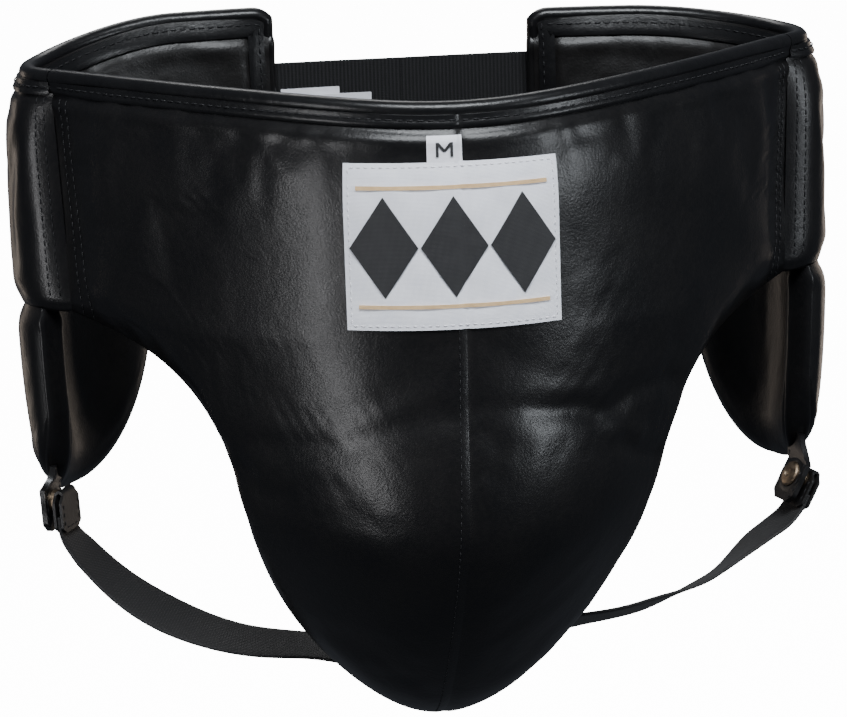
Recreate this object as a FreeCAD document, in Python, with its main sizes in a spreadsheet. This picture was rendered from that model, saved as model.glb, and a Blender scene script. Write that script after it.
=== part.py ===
import FreeCAD, Part
import math
import os
import Sketcher
from FreeCAD import Placement, Rotation, Vector

# Groin protector: a padded belly panel with a hard cup, two padded hip wings, an elastic
# waistband at the back and an elastic leg strap on each side, held by press studs.
# Frame: X to the wearer's left, Y to the wearer's back, Z up; the origin is the centre of
# the waist opening, level with the top edge.

doc = FreeCAD.newDocument("groin_protector")
sheet = doc.addObject("Spreadsheet::Sheet", "Sizes")

SIZES = [
    ("rim_half_width", 167.0, "half width of the waist opening at its side corners"),
    ("rim_front_depth", 120.0, "front of the rim, ahead of the side corners"),
    ("rim_back_depth", 80.0, "back of the rim, behind the side corners"),
    ("rim_front_power", 1.25, "shape of the front of the rim"),
    ("rim_back_power", 2.85, "squareness of the back of the rim"),
    ("rim_front_dip", 4.0, "how far the rim dips at the front"),
    ("rim_dip_width", 60.0, "half width of that dip"),
    ("swell", 10.0, "how far the panel swells forward over the cup"),
    ("swell_depth", 160.0, "middle of that swell, below the rim"),
    ("swell_width", 40.0, "half height of that swell"),
    ("tuck", 45.0, "how far the cup curves back at its lower end"),
    ("tuck_start", 170.0, "start of that curve, below the rim"),
    ("tuck_length", 80.0, "height over which it reaches its full size"),
    ("narrowing", 1.6, "extra sideways bow of the cup"),
    ("narrowing_start", 95.0, "start of that bow, below the rim"),
    ("narrowing_length", 155.0, "height over which it reaches its full size"),
    ("seam_half_width", 155.0, "side seams, from the middle"),
    ("seam_setback", -12.0, "side seams, along Y"),
    ("seam_gap", 1.6, "gap between the front panel and a wing at the hinge seam"),
    ("belt_height", 100.0, "height of the belt at the wings"),
    ("tip_drift", -5.0, "sideways drift of the centre seam at the tip"),
    ("drift_start", 100.0, "start of that drift, below the rim"),
    ("drift_length", 175.0, "height over which it reaches its full size"),
    ("leather", 1.5, "leather cover thickness"),
    ("lining", 1.2, "lining thickness"),
    ("clearance", 0.3, "gap between layers"),
    ("edge_thickness", 5.0, "pad thickness where it is sewn down"),
    ("belly_thickness", 20.0, "belly pad thickness"),
    ("cup_thickness", 17.0, "cup pad thickness"),
    ("wing_thickness", 21.0, "belt thickness over the hips"),
    ("hip_thickness", 15.0, "hip pad thickness"),
    ("round_top", 45.0, "front padding, rounding below the rim"),
    ("round_side", 30.0, "front padding, rounding beside the side seams"),
    ("round_low", 26.0, "front padding, rounding above the lower edge"),
    ("cup_blend_start", 100.0, "belly thickness above this depth"),
    ("cup_blend_end", 160.0, "cup thickness below this depth"),
    ("wing_round_top", 38.0, "belt padding, rounding below the rim"),
    ("wing_round_front", 18.0, "belt padding, rounding behind the side seam"),
    ("wing_round_back", 34.0, "belt padding, rounding at the back end"),
    ("wing_round_low", 16.0, "belt padding, rounding above the hip pad"),
    ("wing_low_share", 0.6, "share of the belt padding left at its lower edge"),
    ("hip_front_start", 12.0, "hip pad at full edge thickness up to here"),
    ("hip_front_end", 34.0, "hip pad edge sewn flat from here on"),
    ("hip_round", 24.0, "hip padding, rounding at its edges"),
    ("hip_gap", 0.6, "gap between belt and hip pad"),
    ("hip_lean_height", 87.0, "height over which the hip pad leans in"),
    ("bulge_share", 0.55, "share of the padding that stands outside the seam line"),
    ("cup_top_depth", 137.0, "line where the cup padding meets the belly padding"),
    ("cup_half_share", 0.6, "share of the lower edge that belongs to the cup, each side"),
    ("shell_thickness", 1.2, "steel cup"),
    ("shell_trim_thickness", 3.0, "rubber edge of the steel cup"),
    ("shell_trim_width", 6.0, "rubber edge of the steel cup, face width"),
    ("shell_half_share", 0.42, "share of the panel that the steel cup covers, each side"),
    ("shell_top_depth", 148.0, "top of the steel cup at its middle, below the rim"),
    ("shell_shoulder", 9.0, "how far its top falls to the corners"),
    ("shell_low_share", 0.93, "lowest point of the steel cup, as a share of the panel"),
    ("shell_corner_share", 0.06, "how far its lower edge rises to the corners"),
    ("pad_inset_share", 0.012, "how far the padding stays back from the edges"),
    ("anchor_half_share", 0.1, "strap anchor patch, half width as a share of the panel"),
    ("anchor_top_share", 0.925, "strap anchor patch, upper edge"),
    ("anchor_low_share", 0.985, "strap anchor patch, lower edge"),
    ("binding_thickness", 1.5, "folded leather binding on the top edge"),
    ("binding_depth", 9.0, "how far the binding folds down"),
    ("patch_left", -42.0, "woven patch, left edge"),
    ("patch_right", 35.0, "woven patch, right edge"),
    ("patch_top", -24.5, "woven patch, top edge"),
    ("patch_bottom", -90.5, "woven patch, bottom edge"),
    ("patch_thickness", 0.7, "woven patch and size tab"),
    ("tab_left", -12.4, "size tab, left edge"),
    ("tab_right", 0.4, "size tab, right edge"),
    ("tab_top", -14.5, "size tab, top edge"),
    ("wing_rise_left", 11.0, "rise of the left wing's top edge at the back"),
    ("wing_rise_right", 5.0, "rise of the right wing's top edge at the back"),
    ("wing_rise_start", 40.0, "start of that rise, along the belt from the seam"),
    ("wing_rise_end", 125.0, "end of that rise"),
    ("wing_end_half_width", 56.0, "back end of each wing, from the middle"),
    ("hip_start", 7.0, "front of the hip pad, along the belt from the seam"),
    ("hip_reach_left", 108.0, "back of the left hip pad, along the belt"),
    ("hip_reach_right", 98.0, "back of the right hip pad, along the belt"),
    ("hip_drop_left", 187.0, "lowest point of the left hip pad, below the rim"),
    ("hip_drop_right", 192.0, "lowest point of the right hip pad, below the rim"),
    ("hip_front_power", 3.0, "squareness of the hip pad's front corner"),
    ("hip_back_power", 2.2, "squareness of the hip pad's back corner"),
    ("hip_lean", 6.0, "how far the hip pad leans in at its lower end"),
    ("elastic_top", -13.0, "waist elastic, top edge"),
    ("elastic_width", 75.0, "waist elastic width"),
    ("elastic_thickness", 1.8, "waist elastic thickness"),
    ("elastic_overlap", 40.0, "length of waist elastic sewn on each wing"),
    ("end_patch_length", 30.0, "leather patch over each end of the waist elastic"),
    ("strap_width", 22.0, "leg strap width"),
    ("strap_thickness", 1.4, "leg strap thickness"),
    ("strap_end_above", 6.0, "folded strap end above the stud"),
    ("strap_end_below", 8.0, "folded strap end below the stud"),
    ("strap_end_cut", 4.5, "cut corners of the folded end"),
    ("ply_thickness", 1.2, "each ply of the folded strap end"),
    ("ply_gap", 2.0, "space between the two plies"),
    ("tab_width", 16.0, "hip tab width"),
    ("tab_thickness", 2.4, "hip tab thickness"),
    ("tab_below", 12.0, "hip tab below the stud"),
    ("tab_chamfer", 3.5, "cut corners of the hip tab"),
    ("cap_radius", 5.6, "press stud cap"),
    ("cap_height", 2.2, "press stud cap dome"),
    ("cap_rim_height", 0.9, "press stud cap edge"),
    ("cap_dimple_radius", 1.6, "dimple in the cap"),
    ("cap_dimple_depth", 0.8, "dimple in the cap"),
    ("cap_post_radius", 1.7, "post of the cap"),
    ("hole_radius", 1.75, "holes in leather and socket for the post"),
    ("socket_radius", 5.0, "press stud socket"),
    ("socket_bore_radius", 3.0, "socket bore"),
    ("socket_roof", 0.7, "socket roof"),
    ("socket_depth", 2.4, "socket height"),
    ("stud_base_radius", 4.8, "press stud base"),
    ("stud_base_height", 0.6, "press stud base"),
    ("stud_radius", 2.92, "press stud head"),
    ("stud_height", 1.6, "press stud head above its base"),
    ("stud_bore_radius", 1.6, "bore of the stud"),
    ("eyelet_radius", 3.6, "eyelet flange behind the strap"),
    ("eyelet_height", 0.5, "eyelet flange"),
    ("eyelet_barrel_radius", 1.55, "eyelet barrel through the strap"),
    ("stud_gap", 0.3, "gap between socket and stud base"),
    ("stud_x", 160.5, "press stud centre, from the middle"),
    ("stud_y", -2.0, "press stud centre, along Y"),
    ("stud_drop_left", 184.0, "left press stud, below the rim"),
    ("stud_drop_right", 193.0, "right press stud, below the rim"),
    ("stud_in_left", -4.0, "left press stud, moved in"),
    ("stud_in_right", 3.0, "right press stud, moved in"),
    ("stud_turn_left", 26.0, "left strap end, turned towards the front"),
    ("stud_turn_right", 17.0, "right strap end, turned towards the front"),
    ("stud_lean_left", 3.0, "left strap end, leaning in"),
    ("stud_lean_right", 30.0, "right strap end, leaning in"),
    ("care_tag_width", 26.0, "care tag"),
    ("care_tag_height", 40.0, "care tag"),
    ("care_tag_thickness", 0.4, "care tag"),
    ("care_tag_right", -28.0, "right edge of the nearer care tag"),
    ("care_tag_top", -24.0, "top edge of the nearer care tag"),
    ("care_tag_step", 14.0, "offset between the two care tags"),
]

# Lower edge of the front panel, from a side seam down to the tip: name, x, depth.
LOWER_EDGE = [
    ("seam", 151.0, 101.0),
    ("groin", 118.0, 113.0),
    ("notch", 97.0, 135.0),
    ("cup_top", 88.0, 156.0),
    ("cup_side", 79.0, 190.0),
    ("cup_low", 65.0, 224.0),
    ("cup_round", 38.0, 256.0),
    ("tip", 0.0, 275.0),
]


def fill_sheet():
    rows = list(SIZES)
    for name, x, depth in LOWER_EDGE:
        rows.append(("edge_" + name + "_x", x, "lower edge of the front panel"))
        rows.append(("edge_" + name + "_depth", depth, "lower edge of the front panel"))
    for number, (alias, value, note) in enumerate(rows, start=1):
        sheet.set("A%d" % number, str(value))
        sheet.set("B%d" % number, note)
        sheet.setAlias("A%d" % number, alias)
    doc.recompute()


def size(alias):
    return float(sheet.get(alias))


class Size:
    """A length together with the spreadsheet formula that gives it."""

    def __init__(self, value, formula):
        self.value = value
        self.formula = formula

    def __add__(self, other):
        return Size(self.value + other.value, "(%s + %s)" % (self.formula, other.formula))

    def __sub__(self, other):
        return Size(self.value - other.value, "(%s - %s)" % (self.formula, other.formula))

    def __mul__(self, factor):
        return Size(self.value * factor, "(%s * %s)" % (self.formula, factor))


ZERO = Size(0.0, "0")


def cell(alias):
    return Size(size(alias), "Sizes." + alias)


fill_sheet()


# ---------------------------------------------------------------- general helpers

def smooth_rise(distance, width):
    """0 at an edge and 1 beyond width, steep at the edge."""
    share = min(max(distance / width, 0.0), 1.0)
    return 1.0 - (1.0 - share) ** 2.2


def smooth_step(value, low, high):
    share = min(max((value - low) / (high - low), 0.0), 1.0)
    return share * share * (3.0 - 2.0 * share)


def spread(low, high, count):
    return [low + (high - low) * number / (count - 1) for number in range(count)]


def eased_spread(low, high, count):
    """Like spread, with the values closer together at both ends."""
    angles = spread(0.0, math.pi, count)
    return [low + (high - low) * (1 - math.cos(angle)) / 2 for angle in angles]


def grid_face(rows):
    surface = Part.BSplineSurface()
    surface.interpolate(rows)
    return surface.toShape()


def slab(outer_rows, inner_rows):
    """A closed solid between two point grids of the same shape."""
    outer = grid_face(outer_rows)
    inner = grid_face(inner_rows)
    walls = [Part.makeRuledSurface(a, b, 1) for a, b in zip(outer.Edges, inner.Edges)]
    shell = Part.Shell([outer, inner] + walls)
    shell.sewShape()
    solid = Part.Solid(shell)
    if solid.Volume < 0:
        solid.reverse()
    return solid


def section_loft(sections):
    """A solid through closed sections, each a list of corner points."""
    wires = [Part.makePolygon(points + points[:1]) for points in sections]
    return Part.makeLoft(wires, True, False)


def add_solid(label, shape):
    feature = doc.addObject("Part::Feature", label)
    feature.Label = label
    feature.Shape = shape
    feature.Placement = Placement()
    return feature


class Curve:
    """A smooth curve read by its arc length, from 0 to its whole length."""

    def __init__(self, points):
        self.spline = Part.BSplineCurve()
        self.spline.interpolate(points)
        self.length = self.spline.length()

    def parameter(self, distance):
        bounded = min(max(distance, 0.0), self.length)
        return self.spline.parameterAtDistance(bounded, self.spline.FirstParameter)

    def point(self, distance):
        return self.spline.value(self.parameter(distance))

    def direction(self, distance):
        tangent = self.spline.tangent(self.parameter(distance))[0]
        return tangent.normalize()


# ---------------------------------------------------------------- padded panels

class FrontPanel:
    """Belly panel and cup. u runs from the left seam (-1) to the right seam (1), v from the
    rim (0) to the lower edge (1). Depth 0 is the outer face."""

    def __init__(self):
        side = [Vector(size("edge_" + n + "_x"), 0, -size("edge_" + n + "_depth"))
                for n, _, _ in LOWER_EDGE]
        left = [Vector(-p.x, 0, p.z) for p in side]
        self.lower = Curve(left + side[-2::-1])

    def flat(self, u, v):
        """x and z before the surface is bent into depth."""
        low = self.lower.point((u + 1) * self.lower.length / 2)
        x_top = size("seam_half_width") * u
        z_top = -size("rim_front_dip") * math.exp(-((x_top / size("rim_dip_width")) ** 2))
        return x_top + (low.x - x_top) * v, z_top + (low.z - z_top) * v

    def column(self, u):
        """Height of the panel at u."""
        return -self.lower.point((u + 1) * self.lower.length / 2).z

    def surface_y(self, x, z):
        down = -z
        across = min((x / size("rim_half_width")) ** 2, 1.0)
        bow = size("rim_front_depth") * (1 - (1 - across) ** size("rim_front_power"))
        off_swell = (down - size("swell_depth")) / size("swell_width")
        swell = size("swell") * math.exp(-(off_swell ** 2))
        into_tuck = max((down - size("tuck_start")) / size("tuck_length"), 0.0)
        tuck = size("tuck") * into_tuck ** 1.8
        into_cup = (down - size("narrowing_start")) / size("narrowing_length")
        narrowing = 1 + size("narrowing") * min(max(into_cup, 0.0), 1.2) ** 1.2
        return -size("rim_front_depth") - swell + tuck + narrowing * bow

    def base(self, u, v):
        x, z = self.flat(u, v)
        below = max(-z - size("drift_start"), 0.0)
        drift = size("tip_drift") * below / size("drift_length")
        return Vector(x + drift, self.surface_y(x, z), z)

    def outward(self, u, v):
        x, z = self.flat(u, v)
        step = 0.5
        slope_x = (self.surface_y(x + step, z) - self.surface_y(x - step, z)) / (2 * step)
        slope_z = (self.surface_y(x, z + step) - self.surface_y(x, z - step)) / (2 * step)
        return Vector(slope_x, -1.0, slope_z).normalize()

    def thickness(self, u, v):
        height = self.column(u)
        rise = smooth_rise(v * height, size("round_top"))
        rise *= smooth_rise((1 - abs(u)) * size("seam_half_width"), size("round_side"))
        rise *= smooth_rise((1 - v) * height, size("round_low"))
        low = smooth_step(v * height, size("cup_blend_start"), size("cup_blend_end"))
        full = size("belly_thickness") * (1 - low) + size("cup_thickness") * low
        return size("edge_thickness") + (full - size("edge_thickness")) * rise

    def at(self, u, v, depth):
        bulge = size("bulge_share") * (self.thickness(u, v) - size("edge_thickness"))
        return self.base(u, v) + self.outward(u, v) * (bulge - depth)

    def find(self, x, z):
        """The u and v of a place on the panel given by x and z."""
        u = x / size("seam_half_width")
        v = 0.5
        for _ in range(20):
            top = self.flat(u, 0.0)[1]
            low = self.flat(u, 1.0)[1]
            v = (z - top) / (low - top)
            u += (x - self.flat(u, v)[0]) / size("seam_half_width")
        return u, v

    def layer(self, u_values, v_range, top, bottom, count=13):
        """A solid layer. v_range(u) gives the two ends of each column, top and bottom
        give the depths of its faces."""
        outer, inner = [], []
        for u in u_values:
            v_values = eased_spread(*v_range(u), count)
            outer.append([self.at(u, v, top(u, v)) for v in v_values])
            inner.append([self.at(u, v, bottom(u, v)) for v in v_values])
        return slab(outer, inner)


class Wing:
    """One padded wing of the belt with its hip pad. side is -1 on the left, 1 on the right.
    s runs along the belt from the side seam to the back end, z is the height."""

    def __init__(self, side, name):
        self.side = side
        self.rise = size("wing_rise_" + name)
        self.reach = size("hip_reach_" + name)
        self.drop = size("hip_drop_" + name)
        seam = Vector(size("seam_half_width"), size("seam_setback"), 0)
        points = [seam, seam + Vector(6.5, 7.5, 0)]
        power = 2 / size("rim_back_power")
        end_share = size("wing_end_half_width") / size("rim_half_width")
        end_angle = math.acos(end_share ** (1 / power))
        for angle in spread(math.radians(8), end_angle, 7):
            points.append(Vector(size("rim_half_width") * math.cos(angle) ** power,
                                 size("rim_back_depth") * math.sin(angle) ** power, 0))
        self.path = Curve(points)
        self.length = self.path.length

    def mirrored(self, point):
        return Vector(point.x * self.side, point.y, point.z)

    def frame(self, s):
        """Point on the seam line and its outward direction, on the right-hand wing."""
        along = self.path.direction(s)
        return self.path.point(s), Vector(along.y, -along.x, 0)

    def rim(self, s):
        return self.rise * smooth_step(s, size("wing_rise_start"), size("wing_rise_end"))

    def belt_thickness(self, s, z):
        rise = smooth_rise(self.rim(s) - z, size("wing_round_top"))
        rise *= smooth_rise(s, size("wing_round_front"))
        rise *= smooth_rise(self.length - s, size("wing_round_back"))
        low_share = size("wing_low_share")
        low_rise = smooth_rise(z + size("belt_height"), size("wing_round_low"))
        rise *= low_share + (1 - low_share) * low_rise
        return size("edge_thickness") + (size("wing_thickness") - size("edge_thickness")) * rise

    def belt_at(self, s, z, depth):
        point, outward = self.frame(s)
        bulge = size("bulge_share") * (self.belt_thickness(s, z) - size("edge_thickness"))
        return self.mirrored(point + outward * (bulge - depth) + Vector(0, 0, z))

    def hip_top(self):
        return -size("belt_height") - size("hip_gap")

    def hip_low(self, s):
        """Height of the hip pad's lower edge at s."""
        middle = (size("hip_start") + self.reach) / 2
        half = (self.reach - size("hip_start")) / 2 + 1.0
        share = min(abs(s - middle) / half, 0.99)
        power = size("hip_front_power") if s < middle else size("hip_back_power")
        fall = (1 - share ** power) ** (1 / power)
        return self.hip_top() - (self.drop + self.hip_top()) * fall

    def hip_thickness(self, s, z):
        front = 1 - smooth_step(s, size("hip_front_start"), size("hip_front_end"))
        edge = size("edge_thickness") + (size("hip_thickness") - size("edge_thickness")) * front
        height = z - self.hip_low(s)
        rise = smooth_rise(height, size("hip_round"))
        rise *= smooth_rise(self.reach - s, size("hip_round"))
        return edge + (size("hip_thickness") - edge) * rise

    def hip_at(self, s, z, depth):
        point, outward = self.frame(s)
        below = max(self.hip_top() - z, 0.0)
        lean = size("hip_lean") * (below / size("hip_lean_height")) ** 2
        half = 0.5 * self.hip_thickness(s, z)
        return self.mirrored(point + outward * (half - lean - depth) + Vector(0, 0, z))

    def belt_layer(self, margin, top, bottom):
        """margin is how far the layer stays back from the belt's ends and edges."""
        outer, inner = [], []
        first = size("seam_gap") / 2 + margin
        for s in eased_spread(first, self.length - margin, 25):
            low = -size("belt_height") + margin
            z_values = eased_spread(self.rim(s) - margin, low, 15)
            outer.append([self.belt_at(s, z, top(s, z)) for z in z_values])
            inner.append([self.belt_at(s, z, bottom(s, z)) for z in z_values])
        return slab(outer, inner)

    def hip_layer(self, margin, top, bottom):
        outer, inner = [], []
        first = size("hip_start") + margin
        last = self.reach - margin
        for s in eased_spread(first, last, 21):
            z_values = eased_spread(self.hip_top() - margin, self.hip_low(s) + margin, 13)
            outer.append([self.hip_at(s, z, top(s, z)) for z in z_values])
            inner.append([self.hip_at(s, z, bottom(s, z)) for z in z_values])
        return slab(outer, inner)


front = FrontPanel()
wings = {"left": Wing(-1, "left"), "right": Wing(1, "right")}
LEATHER = size("leather")
LINING = size("lining")
GAP = size("clearance")
TRIM = size("shell_trim_thickness")
CUP_SHARE = size("cup_half_share")
PAD_END = 0.985


# ---------------------------------------------------------------- front panel layers

def outer_face(u, v):
    return 0.0


def cover_back(u, v):
    return LEATHER


def foam_front(u, v):
    return LEATHER + GAP


def lining_front(u, v):
    return front.thickness(u, v) - LINING


def lining_back(u, v):
    return front.thickness(u, v)


def shell_recess(u, v):
    """1 where the steel cup and its rubber edge need room, 0 away from it."""
    across = 1 - smooth_step(abs(u), 0.46, CUP_SHARE - 0.01)
    return across * (1 - smooth_step(v, 0.945, 0.985))


def foam_back(u, v):
    return front.thickness(u, v) - LINING - GAP


def cup_foam_back(u, v):
    return foam_back(u, v) - (TRIM + 2 * GAP) * shell_recess(u, v)


def whole_column(u):
    return 0.0, 1.0


def cup_line(u, depth):
    return depth / front.column(u)


def belly_column(u):
    """Belly padding ends above the cup, or just inside the lower edge beside it."""
    line = cup_line(u, size("cup_top_depth") - 1.0)
    return size("pad_inset_share"), min(PAD_END, line)


def cup_column(u):
    return cup_line(u, size("cup_top_depth")), PAD_END


def belly_lining_column(u):
    return 0.0, min(1.0, cup_line(u, size("cup_top_depth") - 1.0))


def cup_lining_column(u):
    return cup_line(u, size("cup_top_depth")), 1.0


def make_front_covers():
    inset = size("seam_gap") / 2 / size("seam_half_width")
    middle = 0.1 / size("seam_half_width")
    ranges = {"left": (-1 + inset, -middle), "right": (middle, 1 - inset)}
    for name, (low, high) in ranges.items():
        shape = front.layer(eased_spread(low, high, 21), whole_column, outer_face, cover_back, 21)
        add_solid("front_cover_" + name, shape)


def make_front_padding():
    inset = size("pad_inset_share")
    belly = front.layer(eased_spread(-1 + inset, 1 - inset, 41), belly_column,
                        foam_front, foam_back, 17)
    cup_u = spread(-CUP_SHARE, CUP_SHARE, 31)
    cup = front.layer(cup_u, cup_column, foam_front, cup_foam_back, 25)
    add_solid("belly_foam", belly)
    add_solid("cup_foam", cup)
    side_inset = size("seam_gap") / 2 / size("seam_half_width")
    belly_lining = front.layer(eased_spread(-1 + side_inset, 1 - side_inset, 41),
                               belly_lining_column, lining_front, lining_back, 17)
    add_solid("belly_lining", belly_lining)
    add_solid("cup_lining", front.layer(cup_u, cup_lining_column, lining_front, lining_back, 25))


def shell_column(u, grow):
    """Steel cup outline, grown by grow millimetres."""
    corner = (u / size("shell_half_share")) ** 4
    height = front.column(u)
    low = (size("shell_top_depth") + size("shell_shoulder") * corner - grow) / height
    end = size("shell_low_share") - size("shell_corner_share") * corner
    high = (height * end + grow) / height
    return low, high


def shell_layer(grow, above, below):
    """above and below are counted outwards from the inner face of the foam recess."""
    half = size("shell_half_share") + grow / front.lower.length * 2

    def column(u):
        return shell_column(u, grow)

    def top(u, v):
        return front.thickness(u, v) - LINING - GAP - above

    def bottom(u, v):
        return front.thickness(u, v) - LINING - GAP - below

    return front.layer(spread(-half, half, 17), column, top, bottom)


def make_shell():
    middle = TRIM / 2
    half = size("shell_thickness") / 2
    steel = shell_layer(0.0, middle + half, middle - half)
    add_solid("cup_shell", steel)
    width = size("shell_trim_width")
    blank = shell_layer(1.5, TRIM, 0.0)
    window = shell_layer(1.5 - width, TRIM + 3.0, -3.0)
    add_solid("cup_shell_edge", blank.cut(window).cut(steel))


def binding_section(place, height, thickness):
    """Closed section of a binding folded over an edge. place(drop, depth) gives points
    below the edge, height is added above it."""
    back = GAP + size("binding_thickness")
    drops = [size("binding_depth"), size("binding_depth") / 2, 0.0]
    up = Vector(0, 0, 1)
    points = [place(drop, -back) for drop in drops]
    points.append(place(0.0, 0.0) + up * height)
    points.append(place(0.0, thickness) + up * height)
    points += [place(drop, thickness + back) for drop in reversed(drops)]
    points += [place(drop, thickness + GAP) for drop in drops]
    points.append(place(0.0, thickness) + up * GAP)
    points.append(place(0.0, 0.0) + up * GAP)
    points += [place(drop, -GAP) for drop in reversed(drops)]
    return points


def make_front_binding():
    sections = []
    inset = 1.5 / size("seam_half_width")
    for u in spread(-1 + inset, 1 - inset, 31):
        def place(drop, depth, u=u):
            v = drop / front.column(u)
            if depth <= 0:
                return front.at(u, v, depth)
            return front.at(u, v, depth + front.thickness(u, v) - size("edge_thickness"))
        points = binding_section(place, size("binding_thickness") + GAP, size("edge_thickness"))
        start = front.at(u, 0.0, 0.0)
        outward = front.outward(u, 0.0)
        along = Vector(-outward.y, outward.x, 0).normalize()
        sections.append([p - along * (p - start).dot(along) for p in points])
    add_solid("front_binding", section_loft(sections))


def surface_patch(label, left, right, bottom, top, lift):
    """A thin woven piece lying on the front cover."""
    outer, inner = [], []
    for x in spread(left, right, 11):
        places = [front.find(x, z) for z in spread(top, bottom, 9)]
        outer.append([front.at(u, v, -lift - size("patch_thickness")) for u, v in places])
        inner.append([front.at(u, v, -lift) for u, v in places])
    add_solid(label, slab(outer, inner))


def make_labels():
    surface_patch("front_patch", size("patch_left"), size("patch_right"),
                  size("patch_bottom"), size("patch_top"), GAP)
    surface_patch("size_tab", size("tab_left"), size("tab_right"),
                  size("patch_top") + GAP, size("tab_top"), GAP)


def make_strap_anchor():
    reach = size("anchor_half_share")

    def column(u):
        return size("anchor_top_share"), size("anchor_low_share")

    def top(u, v):
        return front.thickness(u, v) + GAP

    def bottom(u, v):
        return front.thickness(u, v) + GAP + LEATHER

    add_solid("strap_anchor", front.layer(spread(-reach, reach, 7), column, top, bottom, 5))


# ---------------------------------------------------------------- wings

def make_wing(name):
    wing = wings[name]

    def zero(s, z):
        return 0.0

    def cover(s, z):
        return LEATHER

    def foam_top(s, z):
        return LEATHER + GAP

    def belt_foam_back(s, z):
        return wing.belt_thickness(s, z) - LINING - GAP

    def belt_lining(s, z):
        return wing.belt_thickness(s, z) - LINING

    def hip_foam_back(s, z):
        return wing.hip_thickness(s, z) - LINING - GAP

    def hip_lining(s, z):
        return wing.hip_thickness(s, z) - LINING

    add_solid("side_cover_" + name, wing.belt_layer(0.0, zero, cover))
    add_solid("side_foam_" + name, wing.belt_layer(1.2, foam_top, belt_foam_back))
    add_solid("side_lining_" + name, wing.belt_layer(0.0, belt_lining, wing.belt_thickness))
    add_solid("hip_cover_" + name, wing.hip_layer(0.0, zero, cover))
    add_solid("hip_foam_" + name, wing.hip_layer(1.2, foam_top, hip_foam_back))
    add_solid("hip_lining_" + name, wing.hip_layer(0.0, hip_lining, wing.hip_thickness))


def make_wing_binding(name):
    wing = wings[name]
    sections = []
    for s in spread(1.5, wing.length, 31):
        def place(drop, depth, s=s):
            z = wing.rim(s) - drop
            if depth <= 0:
                return wing.belt_at(s, z, depth)
            return wing.belt_at(s, z, depth + wing.belt_thickness(s, z) - size("edge_thickness"))
        sections.append(binding_section(place, size("binding_thickness") + GAP,
                                        size("edge_thickness")))
    add_solid("side_binding_" + name, section_loft(sections))


def make_gusset(name):
    """The leather strip that closes the thick front edge of the hip pad."""
    wing = wings[name]
    first = size("hip_start")
    edge = [Vector(first, 0, z)
            for z in spread(wing.hip_top() - 1.0, wing.hip_low(first) + 6.0, 5)]
    edge += [Vector(s, 0, wing.hip_low(s)) for s in (first + 3.0, first + 8.0, first + 15.0)]
    outline = Curve(edge)
    outer, inner = [], []
    for distance in spread(0.0, outline.length, 13):
        point = outline.point(distance)
        along = outline.direction(distance)
        away = Vector(along.z, 0, -along.x)
        rows = []
        for offset in (GAP + LEATHER, GAP):
            place = point + away * offset
            width = wing.hip_thickness(max(place.x, first), max(place.z, wing.hip_low(first)))
            rows.append([wing.hip_at(place.x, place.z, width * share)
                         for share in spread(0.04, 0.96, 5)])
        outer.append(rows[0])
        inner.append(rows[1])
    add_solid("hip_gusset_" + name, slab(outer, inner))


# ---------------------------------------------------------------- waist elastic

def elastic_row(lift, z):
    """Points along the elastic, from the left wing to the right wing, lift outside them."""
    left, right = wings["left"], wings["right"]
    start = left.length - size("elastic_overlap")
    points = [left.belt_at(s, z, -lift) for s in spread(start, left.length - 0.5, 6)]
    far = [right.belt_at(s, z, -lift) for s in spread(right.length - 0.5, start, 6)]
    between = [points[-1] + (far[0] - points[-1]) * share for share in (0.25, 0.5, 0.75)]
    return points + between + far


def make_waist_elastic():
    heights = spread(size("elastic_top"), size("elastic_top") - size("elastic_width"), 7)
    inner = [elastic_row(GAP, z) for z in heights]
    outer = [elastic_row(GAP + size("elastic_thickness"), z) for z in heights]
    add_solid("waist_elastic", slab(outer, inner))


def make_end_patch(name):
    wing = wings[name]
    lift = 2 * GAP + size("elastic_thickness")
    start = wing.length - size("elastic_overlap") - 6.0
    low = size("elastic_top") - size("elastic_width")
    outer, inner = [], []
    for s in spread(start, start + size("end_patch_length"), 9):
        heights = spread(size("elastic_top") + 3.0, low - 3.0, 9)
        outer.append([wing.belt_at(s, z, -lift - LEATHER) for z in heights])
        inner.append([wing.belt_at(s, z, -lift) for z in heights])
    add_solid("elastic_end_patch_" + name, slab(outer, inner))


# ---------------------------------------------------------------- press stud and straps

class StudPlace:
    """Where a press stud sits. Local axes: X across the strap towards the front, Y up the
    strap, Z out of the cap; the origin is the middle of the hip tab."""

    def __init__(self, name):
        side = wings[name].side
        turn = math.radians(size("stud_turn_" + name))
        lean = math.radians(size("stud_lean_" + name))
        level = Vector(side * math.cos(turn), math.sin(turn), 0)
        up = Vector(0, 0, 1)
        self.side = side
        self.across = Vector(side * math.sin(turn), -math.cos(turn), 0)
        self.down = up * -math.cos(lean) - level * math.sin(lean)
        self.outward = level * math.cos(lean) - up * math.sin(lean)
        self.cap = self.outward * -side
        moved = size("stud_x") - size("stud_in_" + name)
        self.centre = Vector(side * moved, size("stud_y"), -size("stud_drop_" + name))

    def placement(self, along_cap=0.0):
        """Placement of a piece whose origin is along_cap towards the cap."""
        up = self.down * -1
        across = up.cross(self.cap)
        turn = Rotation(across, up, self.cap, "ZXY")
        return Placement(self.centre + self.cap * along_cap, turn)


def make_body(label, placement):
    body = doc.addObject("PartDesign::Body", label)
    body.Label = label
    body.Placement = placement
    return body


def origin_plane(body, role):
    for feature in body.Origin.OriginFeatures:
        if feature.Role == role:
            return feature
    raise RuntimeError("no origin feature " + role)


def add_sketch(body, name, role):
    sketch = body.newObject("Sketcher::SketchObject", name)
    sketch.AttachmentSupport = [(origin_plane(body, role), "")]
    sketch.MapMode = "FlatFace"
    return sketch


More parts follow.
